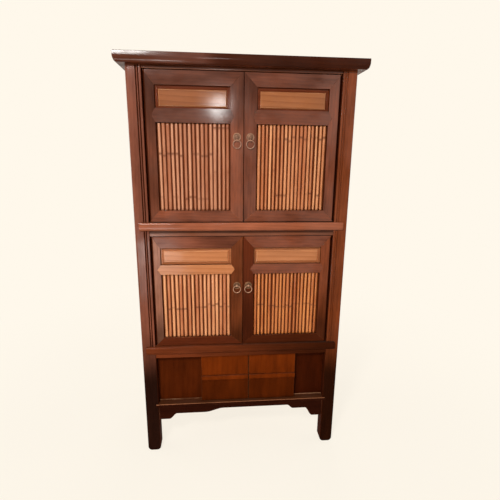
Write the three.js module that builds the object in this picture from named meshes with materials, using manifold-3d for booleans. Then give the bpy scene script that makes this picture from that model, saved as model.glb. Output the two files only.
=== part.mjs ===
// Tall media armoire in lacquered elm, with bamboo-faced doors and ring pulls.
// Lengths are in millimetres, +Z is up and the front faces -Y.
// The origin is on the floor, under the middle of the cabinet.
import * as THREE from 'three';
import { mergeVertices } from 'three/addons/utils/BufferGeometryUtils.js';
import Module from 'manifold-3d';

const wasm = await Module();
wasm.setup();

// Overall sizes, across and along the posts
const BODY_WIDTH = 1000;
const BODY_DEPTH = 600;
const TOTAL_HEIGHT = 1940;

// Heights of the front, stacked from the floor up
const BASE_HEIGHT = 276;
const DRAWER_SPACE_HEIGHT = 265;
const SILL_RAIL_HEIGHT = 63;
const LOWER_DOORWAY_HEIGHT = 561;
const MID_RAIL_HEIGHT = 64;
const HEAD_RAIL_HEIGHT = 14;
const CORNICE_HEIGHT = 43;

// Fits and clearances
const SEAT_GAP = 0.3;
const DOOR_GAP = 3;
const DRAWER_GAP = 3;
const DRAWER_SIDE_GAP = 1.5;
const CUT_OVERRUN = 2;

// Posts: the face by the outer edge, then a groove, a bead and a second groove
const POST_WIDTH = 67;
const POST_DEPTH = 60;
const POST_OUTER_ROUND = 9;
const POST_INNER_ROUND = 5;
const POST_FACE_WIDTH = 41;
const POST_GROOVE_WIDTH = 5;
const POST_GROOVE_DEPTH = 5;
const POST_BEAD_WIDTH = 5;

// Cornice frame and the board that it carries
const CORNICE_OVERHANG = 39;
const CORNICE_UNDERCUT = 12;
const CORNICE_FACE_HEIGHT = 15;
const CORNICE_INSET = 70;
const CORNICE_REBATE = 15;
const TOP_BOARD_THICKNESS = 18;
const TOP_BOARD_SETBACK = 2;

// Front rails, which stand proud of the posts and lap over them
const RAIL_PROUD = 11;
const RAIL_LAP = 45;
const RAIL_END_ROUND = 7;
const RAIL_TOP_ROUND = 7;
const RAIL_UNDER_ROUND = 15;
const MID_STRIP_HEIGHT = 24;
const SILL_STRIP_HEIGHT = 21;
const HEAD_RAIL_SETBACK = 2;
const STOP_THICKNESS = 18;
const STOP_HEIGHT = 8;

// Base rail, with the fixed panels and the apron
const BASE_RAIL_HEIGHT = 16;
const BASE_RAIL_DEPTH = 60;
const BASE_RAIL_PROUD = 4;
const BASE_RAIL_LAP = 12;
const BASE_RAIL_ROUND = 4;
const FIXED_PANEL_SETBACK = 38;
const FIXED_PANEL_THICKNESS = 12;
const APRON_SETBACK = 2;
const APRON_THICKNESS = 20;
const APRON_MIDDLE_DROP = 24;
const APRON_SHOULDER_DROP = 45;
const APRON_LEFT = { footDrop: 76, foot: 52, rise: 41, shoulder: 145, ogee: 100 };
const APRON_RIGHT = { footDrop: 94, foot: 52, rise: 41, shoulder: 65, ogee: 33 };

// Sides, back, decks
const SIDE_SETBACK = 2;
const SIDE_RAIL_THICKNESS = 24;
const SIDE_FIELD_SETBACK = 9;
const SIDE_TOP_RAIL_HEIGHT = 70;
const SIDE_BASE_RAIL_HEIGHT = 56;
const BACK_SETBACK = 14;
const BACK_THICKNESS = 12;
const DECK_THICKNESS = 20;
const CABLE_SLOT_WIDTH = 130;
const CABLE_SLOT_HEIGHT = 80;
const CABLE_SLOT_RISE = 60;
const CABLE_SLOT_SHIFT = 200;

// Doors; pullShare is the pull's place up the bamboo panel
const DOOR_SETBACK = 4;
const DOOR_THICKNESS = 22;
const MITRE_LAYER = 6;
const PIVOT_PIN_RADIUS = 4.5;
const PIVOT_PIN_SEAT = 7;
const BEAK_LENGTH = 17;
const TONGUE = 6;
const SMALL_PANEL_THICKNESS = 6;
const SMALL_PANEL_DEPTH = 12;
const FIELD_RISE = 5;
const FIELD_BEVEL = 3;
const BAMBOO_BOARD_THICKNESS = 4;
const BAMBOO_BOARD_DEPTH = 14;
const SLAT_COUNT = 17;
const SLAT_HEIGHT = 8;
const SLAT_SPACE = 3;
const SLAT_MARGIN = 4;
const UPPER_DOOR = {
  topRail: 59, smallPanel: 93, lockRail: 60, bottomRail: 52,
  border: 15, footBorder: 7, pullShare: 0.85417, eyeDrop: 14,
};
const LOWER_DOOR = {
  topRail: 56, smallPanel: 82, lockRail: 48, bottomRail: 42,
  border: 14, footBorder: 11, pullShare: 0.81957, eyeDrop: 0,
};
const STILES = {
  upper: { left: { hinge: 46, meeting: 58 }, right: { hinge: 51, meeting: 56 } },
  lower: { left: { hinge: 40, meeting: 55 }, right: { hinge: 50, meeting: 50 } },
};

// Ring pulls
const PLATE_RADIUS = 18;
const PLATE_THICKNESS = 2.4;
const PLATE_EDGE = 1.2;
const PLATE_CROWN = 1;
const EYE_RADIUS = 4.7;
const EYE_WIRE_RADIUS = 1.4;
const RING_RADIUS = 17.5;
const RING_WIRE_RADIUS = 2.3;

// Drawers and their case
const DRAWER_GROUP_WIDTH = 490;
const DRAWER_GROUP_SHIFT = 34;
const DRAWER_FACE_SETBACK = 14;
const DRAWER_FACE_THICKNESS = 20;
const LOWER_DRAWER_HEIGHT = 143;
const LIP_HEIGHT = 26;
const LIP_PROUD = 9;
const CASE_BACK_CLEARANCE = 19.7;
const CASE_REVEAL = 4;
const CASE_WALL = 14;
const CASE_DIVIDER = 16;
const DRAWER_BOX_CLEARANCE = 30;
const DRAWER_BOX_WALL = 10;
const DRAWER_BOX_BOTTOM = 8;
const DRAWER_BOX_HEADROOM = 8;

// Counts of steps in curved outlines
const ARC_STEPS = 6;
const CURVE_STEPS = 10;
const SLAT_STEPS = 6;
const ROUND_STEPS = 32;
const WIRE_STEPS = 8;

// Places worked out from the sizes
const HALF = { width: BODY_WIDTH / 2, depth: BODY_DEPTH / 2 };
const FRONT = -HALF.depth;
const SILL_BOTTOM = BASE_HEIGHT + DRAWER_SPACE_HEIGHT;
const SILL_TOP = SILL_BOTTOM + SILL_RAIL_HEIGHT;
const MID_BOTTOM = SILL_TOP + LOWER_DOORWAY_HEIGHT;
const MID_TOP = MID_BOTTOM + MID_RAIL_HEIGHT;
const CORNICE_BOTTOM = TOTAL_HEIGHT - CORNICE_HEIGHT;
const HEAD_BOTTOM = CORNICE_BOTTOM - HEAD_RAIL_HEIGHT;
const DOORWAY_HALF = HALF.width - POST_WIDTH;
const DOOR_FRONT = FRONT + DOOR_SETBACK;
const DOOR_BACK = DOOR_FRONT + DOOR_THICKNESS;
const DOOR_WIDTH = DOORWAY_HALF - DOOR_GAP - DOOR_GAP / 2;
const PIVOT_INSET = DOOR_THICKNESS / 2;
const HINGE_X = DOORWAY_HALF - DOOR_GAP - PIVOT_INSET;
const HINGE_Y = DOOR_FRONT + DOOR_THICKNESS / 2;
const STOP_FRONT = DOOR_BACK + SEAT_GAP;
const RAIL_BACK = STOP_FRONT + STOP_THICKNESS;
const BASE_RAIL_BOTTOM = BASE_HEIGHT - BASE_RAIL_HEIGHT;
const BACK_FACE = HALF.depth - BACK_SETBACK;
const BACK_INNER = BACK_FACE - BACK_THICKNESS;
const SIDE_INNER = HALF.width - SIDE_SETBACK - SIDE_RAIL_THICKNESS;
const DRAWER_FACE = FRONT + DRAWER_FACE_SETBACK;
const CASE_FRONT = DRAWER_FACE + DRAWER_FACE_THICKNESS + SEAT_GAP;
const CASE_BACK = BACK_INNER - CASE_BACK_CLEARANCE;
const DRAWER_BOX_LENGTH = CASE_BACK - CASE_FRONT - DRAWER_BOX_CLEARANCE;
const GROUP_LEFT = DRAWER_GROUP_SHIFT - DRAWER_GROUP_WIDTH / 2;
const GROUP_RIGHT = DRAWER_GROUP_SHIFT + DRAWER_GROUP_WIDTH / 2;
const CASE_LEFT = GROUP_LEFT + CASE_REVEAL;
const CASE_RIGHT = GROUP_RIGHT - CASE_REVEAL;
const CASE_BOTTOM = BASE_HEIGHT + SEAT_GAP;
const CASE_TOP = SILL_BOTTOM - SEAT_GAP;
const DRAWER_BOTTOM = BASE_HEIGHT + DRAWER_GAP;
const DRAWER_PARTING = DRAWER_BOTTOM + LOWER_DRAWER_HEIGHT;

// Finishes
const elm = { color: 0x5e2f1f, roughness: 0.38, metalness: 0 };
const darkElm = { color: 0x3a1a10, roughness: 0.42, metalness: 0 };
const drawerElm = { color: 0x7a3d18, roughness: 0.4, metalness: 0 };
const innerWood = { color: 0x8a6242, roughness: 0.7, metalness: 0 };
const honeyWood = { color: 0xb8733c, roughness: 0.45, metalness: 0 };
const bamboo = { color: 0xc98550, roughness: 0.5, metalness: 0 };
const brass = { color: 0x6f5f45, roughness: 0.45, metalness: 0.85 };

const armoire = new THREE.Group();

function addMesh(parent, name, geometry, finish) {
  const mesh = new THREE.Mesh(geometry, new THREE.MeshStandardMaterial(finish));
  mesh.name = name;
  parent.add(mesh);
  return mesh;
}

// A closed outline pushed along one axis, between two places on it.
// The outline is (x, y) along Z, (x, z) along Y and (y, z) along X.
const AXES = {
  x: [[0, 1, 0], [0, 0, 1], [1, 0, 0]],
  y: [[1, 0, 0], [0, 0, 1], [0, -1, 0]],
  z: [[1, 0, 0], [0, 1, 0], [0, 0, 1]],
};

function pushed(axis, outline, from, to) {
  const shape = new THREE.Shape(outline.map(([a, b]) => new THREE.Vector2(a, b)));
  const geometry = new THREE.ExtrudeGeometry(shape, { depth: to - from, bevelEnabled: false });
  const basis = AXES[axis].map((v) => new THREE.Vector3(...v));
  geometry.applyMatrix4(new THREE.Matrix4().makeBasis(...basis));
  const start = axis === 'y' ? to : from;
  geometry.translate(...['x', 'y', 'z'].map((name) => (name === axis ? start : 0)));
  return geometry;
}

function rectangle(left, right, low, high) {
  return [[left, low], [right, low], [right, high], [left, high]];
}

function block([x0, x1], [y0, y1], [z0, z1]) {
  return pushed('z', rectangle(x0, x1, y0, y1), z0, z1);
}

function arc(centreA, centreB, radiusA, radiusB, start, end, steps = ARC_STEPS) {
  return Array.from({ length: steps + 1 }, (_, i) => {
    const angle = start + ((end - start) * i) / steps;
    return [centreA + radiusA * Math.cos(angle), centreB + radiusB * Math.sin(angle)];
  });
}

// Rings of corners joined one to the next, with the two ends closed or joined
function lofted(rings, joinEnds) {
  const count = rings[0].length;
  const positions = rings.flat(2);
  const index = [];
  const last = joinEnds ? rings.length : rings.length - 1;
  for (let r = 0; r < last; r += 1) {
    const next = (r + 1) % rings.length;
    for (let i = 0; i < count; i += 1) {
      const j = (i + 1) % count;
      const corners = [r * count + i, r * count + j, next * count + j, next * count + i];
      index.push(corners[0], corners[1], corners[2], corners[0], corners[2], corners[3]);
    }
  }
  if (!joinEnds) {
    const top = (rings.length - 1) * count;
    for (let i = 1; i < count - 1; i += 1) {
      index.push(0, i + 1, i, top, top + i, top + i + 1);
    }
  }
  const geometry = new THREE.BufferGeometry();
  geometry.setAttribute('position', new THREE.Float32BufferAttribute(positions, 3));
  geometry.setIndex(index);
  if (volumeOf(geometry) < 0) {
    index.reverse();
    geometry.setIndex(index);
  }
  return geometry;
}

function volumeOf(geometry) {
  const points = geometry.attributes.position;
  const corner = (i) => new THREE.Vector3().fromBufferAttribute(points, geometry.index.getX(i));
  let total = 0;
  for (let i = 0; i < geometry.index.count; i += 3) {
    total += corner(i).dot(corner(i + 1).cross(corner(i + 2))) / 6;
  }
  return total;
}

function solidOf(geometry) {
  const plain = geometry.clone();
  plain.deleteAttribute('normal');
  plain.deleteAttribute('uv');
  const merged = mergeVertices(plain);
  return new wasm.Manifold(new wasm.Mesh({
    numProp: 3,
    vertProperties: new Float32Array(merged.attributes.position.array),
    triVerts: new Uint32Array(merged.index.array),
  }));
}

function geometryOf(solid) {
  const mesh = solid.getMesh();
  const geometry = new THREE.BufferGeometry();
  geometry.setAttribute('position', new THREE.BufferAttribute(mesh.vertProperties, 3));
  geometry.setIndex(new THREE.BufferAttribute(mesh.triVerts, 1));
  return geometry;
}

function joined(...geometries) {
  return geometryOf(geometries.map(solidOf).reduce((sum, solid) => sum.add(solid)));
}

function cut(geometry, ...tools) {
  return geometryOf(tools.map(solidOf).reduce((rest, tool) => rest.subtract(tool), solidOf(geometry)));
}

function common(geometry, other) {
  return geometryOf(solidOf(geometry).intersect(solidOf(other)));
}

function uprightPin(x, y, low, high, radius) {
  const pin = new THREE.CylinderGeometry(radius, radius, high - low, ROUND_STEPS / 2);
  pin.rotateX(Math.PI / 2);
  pin.translate(x, y, (low + high) / 2);
  return pin;
}

// Front post: rounded corners, and grooves beside a bead above the sill
function frontPost(side) {
  const at = (fromOuter) => side * (HALF.width - fromOuter);
  const back = FRONT + POST_DEPTH;
  const outline = [
    ...arc(POST_OUTER_ROUND, FRONT + POST_OUTER_ROUND, POST_OUTER_ROUND, POST_OUTER_ROUND,
      Math.PI, Math.PI * 1.5),
    ...arc(POST_WIDTH - POST_INNER_ROUND, FRONT + POST_INNER_ROUND, POST_INNER_ROUND, POST_INNER_ROUND,
      -Math.PI / 2, 0),
    [POST_WIDTH, back],
    [0, back],
  ].map(([fromOuter, y]) => [at(fromOuter), y]);
  const groove = POST_FACE_WIDTH + POST_GROOVE_WIDTH;
  const floor = FRONT + POST_GROOVE_DEPTH;
  const bead = POST_BEAD_WIDTH / 2;
  const cutter = [
    [POST_FACE_WIDTH, FRONT - CUT_OVERRUN],
    [POST_FACE_WIDTH, floor],
    [groove, floor],
    ...arc(groove + bead, FRONT + bead, bead, bead, Math.PI, Math.PI * 2),
    [groove + POST_BEAD_WIDTH, floor],
    [groove + POST_BEAD_WIDTH + POST_GROOVE_WIDTH, floor],
    [groove + POST_BEAD_WIDTH + POST_GROOVE_WIDTH, FRONT - CUT_OVERRUN],
  ].map(([fromOuter, y]) => [at(fromOuter), y]);
  return cut(
    pushed('z', outline, 0, CORNICE_BOTTOM),
    pushed('z', cutter, SILL_TOP - RAIL_TOP_ROUND, CORNICE_BOTTOM + CUT_OVERRUN),
  );
}

function rearPost(side) {
  const back = HALF.depth;
  const outline = [
    [0, back - POST_DEPTH],
    [POST_WIDTH, back - POST_DEPTH],
    [POST_WIDTH, back],
    ...arc(POST_INNER_ROUND, back - POST_INNER_ROUND, POST_INNER_ROUND, POST_INNER_ROUND,
      Math.PI / 2, Math.PI),
  ].map(([fromOuter, y]) => [side * (HALF.width - fromOuter), y]);
  return pushed('z', outline, 0, CORNICE_BOTTOM);
}

// Cornice: one profile carried round the four sides with mitred corners
function corniceFrame() {
  const faceFoot = TOTAL_HEIGHT - CORNICE_FACE_HEIGHT;
  const underside = CORNICE_OVERHANG - CORNICE_UNDERCUT;
  const ledge = TOTAL_HEIGHT - TOP_BOARD_SETBACK - TOP_BOARD_THICKNESS - SEAT_GAP;
  const profile = [
    [CORNICE_OVERHANG, TOTAL_HEIGHT],
    ...arc(underside, faceFoot, CORNICE_UNDERCUT, faceFoot - CORNICE_BOTTOM, 0, -Math.PI / 2),
    [-CORNICE_INSET, CORNICE_BOTTOM],
    [-CORNICE_INSET, ledge],
    [CORNICE_REBATE - CORNICE_INSET, ledge],
    [CORNICE_REBATE - CORNICE_INSET, TOTAL_HEIGHT],
  ];
  const rings = profile.map(([out, z]) => {
    const x = HALF.width + out;
    const y = HALF.depth + out;
    return [[-x, -y, z], [x, -y, z], [x, y, z], [-x, y, z]];
  });
  return lofted(rings, true);
}

function topBoard() {
  const x = HALF.width - CORNICE_INSET + CORNICE_REBATE - SEAT_GAP;
  const y = HALF.depth - CORNICE_INSET + CORNICE_REBATE - SEAT_GAP;
  const top = TOTAL_HEIGHT - TOP_BOARD_SETBACK;
  return block([-x, x], [-y, y], [top - TOP_BOARD_THICKNESS, top]);
}

// A rail that laps over both posts is notched round them, and its ends are rounded
function lappedRail(outline, lap, low, high, endRound) {
  const end = DOORWAY_HALF + lap;
  const rail = pushed('x', outline, -end, end);
  const notches = [-1, 1].map((side) => {
    const inner = side * (DOORWAY_HALF - SEAT_GAP);
    const outer = side * (end + CUT_OVERRUN);
    return block(
      [Math.min(inner, outer), Math.max(inner, outer)],
      [FRONT - SEAT_GAP, HALF.depth],
      [low - CUT_OVERRUN, high + CUT_OVERRUN],
    );
  });
  const notched = cut(rail, ...notches);
  const face = [
    ...arc(end - endRound.x, high - endRound.z, endRound.x, endRound.z, Math.PI / 2, 0),
    ...arc(end - endRound.x, low + endRound.z, endRound.x, endRound.z, 0, -Math.PI / 2),
    ...arc(endRound.x - end, low + endRound.z, endRound.x, endRound.z, -Math.PI / 2, -Math.PI),
    ...arc(endRound.x - end, high - endRound.z, endRound.x, endRound.z, Math.PI, Math.PI / 2),
  ];
  const frontLayer = pushed('y', face, FRONT - BODY_DEPTH, FRONT);
  const core = block([-DOORWAY_HALF, DOORWAY_HALF], [FRONT - BODY_DEPTH, HALF.depth],
    [low - BODY_DEPTH, high + BODY_DEPTH]);
  return common(notched, joined(frontLayer, core));
}

// Mid and sill rails: a rounded front, a flush strip below it and the door stops behind
function doorRail({ bottom, top, strip, stopBelow, pinsAbove, pinsBelow }) {
  const proudFoot = bottom + strip;
  const outline = [
    [RAIL_BACK, bottom - stopBelow],
    [STOP_FRONT, bottom - stopBelow],
    ...(stopBelow > 0 ? [[STOP_FRONT, bottom]] : []),
    [FRONT, bottom],
    ...arc(FRONT, proudFoot + RAIL_UNDER_ROUND, RAIL_PROUD, RAIL_UNDER_ROUND, -Math.PI / 2, -Math.PI),
    ...arc(FRONT - RAIL_PROUD + RAIL_TOP_ROUND, top - RAIL_TOP_ROUND, RAIL_TOP_ROUND, RAIL_TOP_ROUND,
      -Math.PI, -Math.PI * 1.5),
    [STOP_FRONT, top],
    [STOP_FRONT, top + STOP_HEIGHT],
    [RAIL_BACK, top + STOP_HEIGHT],
  ];
  const endRound = { x: RAIL_END_ROUND, z: RAIL_END_ROUND };
  const rail = lappedRail(outline, RAIL_LAP, proudFoot, top, endRound);
  const bores = [];
  for (const side of [-1, 1]) {
    if (pinsAbove) {
      bores.push(pivotBore(side, top - PIVOT_PIN_SEAT - SEAT_GAP, top + CUT_OVERRUN));
    }
    if (pinsBelow) {
      bores.push(pivotBore(side, bottom - CUT_OVERRUN, bottom + PIVOT_PIN_SEAT + SEAT_GAP));
    }
  }
  return cut(rail, ...bores);
}

function pivotBore(side, low, high) {
  return uprightPin(side * HINGE_X, HINGE_Y, low, high, PIVOT_PIN_RADIUS + SEAT_GAP);
}

function headRail() {
  const front = FRONT + HEAD_RAIL_SETBACK;
  const outline = [
    [RAIL_BACK, HEAD_BOTTOM - STOP_HEIGHT],
    [STOP_FRONT, HEAD_BOTTOM - STOP_HEIGHT],
    [STOP_FRONT, HEAD_BOTTOM],
    [front, HEAD_BOTTOM],
    [front, CORNICE_BOTTOM],
    [RAIL_BACK, CORNICE_BOTTOM],
  ];
  const end = DOORWAY_HALF - SEAT_GAP;
  const bores = [-1, 1].map((side) => (
    pivotBore(side, HEAD_BOTTOM - CUT_OVERRUN, HEAD_BOTTOM + PIVOT_PIN_SEAT + SEAT_GAP)
  ));
  return cut(pushed('x', outline, -end, end), ...bores);
}

function baseRail() {
  const front = FRONT - BASE_RAIL_PROUD;
  const outline = [
    [front + BASE_RAIL_DEPTH, BASE_RAIL_BOTTOM],
    [front, BASE_RAIL_BOTTOM],
    ...arc(front + BASE_RAIL_ROUND, BASE_HEIGHT - BASE_RAIL_ROUND, BASE_RAIL_ROUND, BASE_RAIL_ROUND,
      -Math.PI, -Math.PI * 1.5),
    [front + BASE_RAIL_DEPTH, BASE_HEIGHT],
  ];
  const endRound = { x: BASE_RAIL_ROUND, z: BASE_RAIL_ROUND };
  return lappedRail(outline, BASE_RAIL_LAP, BASE_RAIL_BOTTOM, BASE_HEIGHT, endRound);
}

// Lower edge of the apron from one post to the middle, eased between its levels
function apronEdge(half, side) {
  const end = DOORWAY_HALF - SEAT_GAP;
  const eased = (fromX, fromDrop, length, toDrop) => (
    Array.from({ length: CURVE_STEPS + 1 }, (_, i) => {
      const share = i / CURVE_STEPS;
      const drop = fromDrop + (toDrop - fromDrop) * (1 - Math.cos(Math.PI * share)) / 2;
      return [side * (end - fromX - length * share), BASE_RAIL_BOTTOM - SEAT_GAP - drop];
    })
  );
  const riseEnd = half.foot + half.rise;
  return [
    [side * end, BASE_RAIL_BOTTOM - SEAT_GAP - half.footDrop],
    ...eased(half.foot, half.footDrop, half.rise, APRON_SHOULDER_DROP),
    ...eased(riseEnd + half.shoulder, APRON_SHOULDER_DROP, half.ogee, APRON_MIDDLE_DROP),
  ];
}

function apron() {
  const end = DOORWAY_HALF - SEAT_GAP;
  const top = BASE_RAIL_BOTTOM - SEAT_GAP;
  const outline = [
    [-end, top],
    ...apronEdge(APRON_LEFT, -1),
    ...apronEdge(APRON_RIGHT, 1).reverse(),
    [end, top],
  ];
  return pushed('y', outline, FRONT + APRON_SETBACK, FRONT + APRON_SETBACK + APRON_THICKNESS);
}

// Side of the carcass: rails level with the front ones, and set-back fields between them
function sidePanel(side) {
  const face = HALF.width - SIDE_SETBACK;
  const field = face - SIDE_FIELD_SETBACK;
  const bands = [
    [BASE_HEIGHT - SIDE_BASE_RAIL_HEIGHT, BASE_HEIGHT],
    [SILL_BOTTOM, SILL_TOP],
    [MID_BOTTOM, MID_TOP],
    [CORNICE_BOTTOM - SIDE_TOP_RAIL_HEIGHT, CORNICE_BOTTOM],
  ];
  const outer = bands.flatMap(([low, high], i) => [
    ...(i > 0 ? [[field, low]] : []),
    [face, low],
    [face, high],
    ...(i < bands.length - 1 ? [[field, high]] : []),
  ]);
  const outline = [
    [SIDE_INNER, CORNICE_BOTTOM],
    [SIDE_INNER, BASE_HEIGHT - SIDE_BASE_RAIL_HEIGHT],
    ...outer,
  ].map(([x, z]) => [side * x, z]);
  const reach = HALF.depth - POST_DEPTH - SEAT_GAP;
  return pushed('y', outline, -reach, reach);
}

function backPanel() {
  const end = DOORWAY_HALF - SEAT_GAP;
  const low = BASE_HEIGHT - SIDE_BASE_RAIL_HEIGHT;
  const board = pushed('y', rectangle(-end, end, low, CORNICE_BOTTOM), BACK_INNER, BACK_FACE);
  const slots = [SILL_TOP, MID_TOP].map((level) => block(
    [CABLE_SLOT_SHIFT - CABLE_SLOT_WIDTH / 2, CABLE_SLOT_SHIFT + CABLE_SLOT_WIDTH / 2],
    [BACK_INNER - CUT_OVERRUN, BACK_FACE + CUT_OVERRUN],
    [level + CABLE_SLOT_RISE, level + CABLE_SLOT_RISE + CABLE_SLOT_HEIGHT],
  ));
  return cut(board, ...slots);
}

// A deck fills the carcass from its front edge to the back, notched round the posts
function deck(top, front) {
  const wide = SIDE_INNER - SEAT_GAP;
  const narrow = DOORWAY_HALF - SEAT_GAP;
  const post = HALF.depth - POST_DEPTH - SEAT_GAP;
  const back = BACK_INNER - SEAT_GAP;
  const outline = [
    [-narrow, front], [narrow, front], [narrow, -post], [wide, -post], [wide, post],
    [narrow, post], [narrow, back], [-narrow, back], [-narrow, post], [-wide, post],
    [-wide, -post], [-narrow, -post],
  ];
  return pushed('z', outline, top - DECK_THICKNESS, top);
}

function fixedPanel(left, right) {
  const face = FRONT + FIXED_PANEL_SETBACK;
  return block([left, right], [face, face + FIXED_PANEL_THICKNESS], [CASE_BOTTOM, CASE_TOP]);
}

// The case has one cell for each drawer: two beside each other, in two rows
const CELLS = (() => {
  const middle = DRAWER_GROUP_SHIFT;
  const parting = DRAWER_PARTING + DRAWER_GAP / 2;
  const columns = {
    left: [CASE_LEFT + CASE_WALL, middle - CASE_DIVIDER / 2],
    right: [middle + CASE_DIVIDER / 2, CASE_RIGHT - CASE_WALL],
  };
  const rows = {
    lower: [CASE_BOTTOM + CASE_WALL, parting - CASE_DIVIDER / 2],
    upper: [parting + CASE_DIVIDER / 2, CASE_TOP - CASE_WALL],
  };
  return { columns, rows };
})();

function drawerCase() {
  const length = [CASE_FRONT, CASE_BACK];
  const body = block([CASE_LEFT, CASE_RIGHT], length, [CASE_BOTTOM, CASE_TOP]);
  const through = [length[0] - CUT_OVERRUN, length[1] + CUT_OVERRUN];
  const cells = Object.values(CELLS.columns).flatMap((column) => (
    Object.values(CELLS.rows).map((row) => block(column, through, row))
  ));
  return cut(body, ...cells);
}

// A drawer: its face, with a rounded lip on the lower row, and an open box behind
function drawer(column, row) {
  const columns = {
    left: [GROUP_LEFT, DRAWER_GROUP_SHIFT - DRAWER_GAP / 2],
    right: [DRAWER_GROUP_SHIFT + DRAWER_GAP / 2, GROUP_RIGHT],
  };
  const rows = {
    lower: [DRAWER_BOTTOM, DRAWER_PARTING],
    upper: [DRAWER_PARTING + DRAWER_GAP, SILL_BOTTOM - DRAWER_GAP],
  };
  const [left, right] = columns[column];
  const [low, high] = rows[row];
  const back = DRAWER_FACE + DRAWER_FACE_THICKNESS;
  const lip = arc(DRAWER_FACE, high - LIP_HEIGHT / 2, LIP_PROUD, LIP_HEIGHT / 2,
    Math.PI * 1.5, Math.PI / 2, CURVE_STEPS);
  const outline = [
    [back, low],
    [DRAWER_FACE, low],
    ...(row === 'lower' ? lip : [[DRAWER_FACE, high]]),
    [back, high],
  ];
  const [cellLeft, cellRight] = CELLS.columns[column];
  const [cellLow, cellHigh] = CELLS.rows[row];
  const x = [cellLeft + DRAWER_SIDE_GAP, cellRight - DRAWER_SIDE_GAP];
  const y = [back - CUT_OVERRUN, back + DRAWER_BOX_LENGTH];
  const z = [cellLow + SEAT_GAP, cellHigh - DRAWER_BOX_HEADROOM];
  const hollow = block(
    [x[0] + DRAWER_BOX_WALL, x[1] - DRAWER_BOX_WALL],
    [back, y[1] - DRAWER_BOX_WALL],
    [z[0] + DRAWER_BOX_BOTTOM, z[1] + DRAWER_BOX_HEADROOM / 2],
  );
  return cut(joined(pushed('x', outline, left, right), block(x, y, z)), hollow);
}

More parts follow.
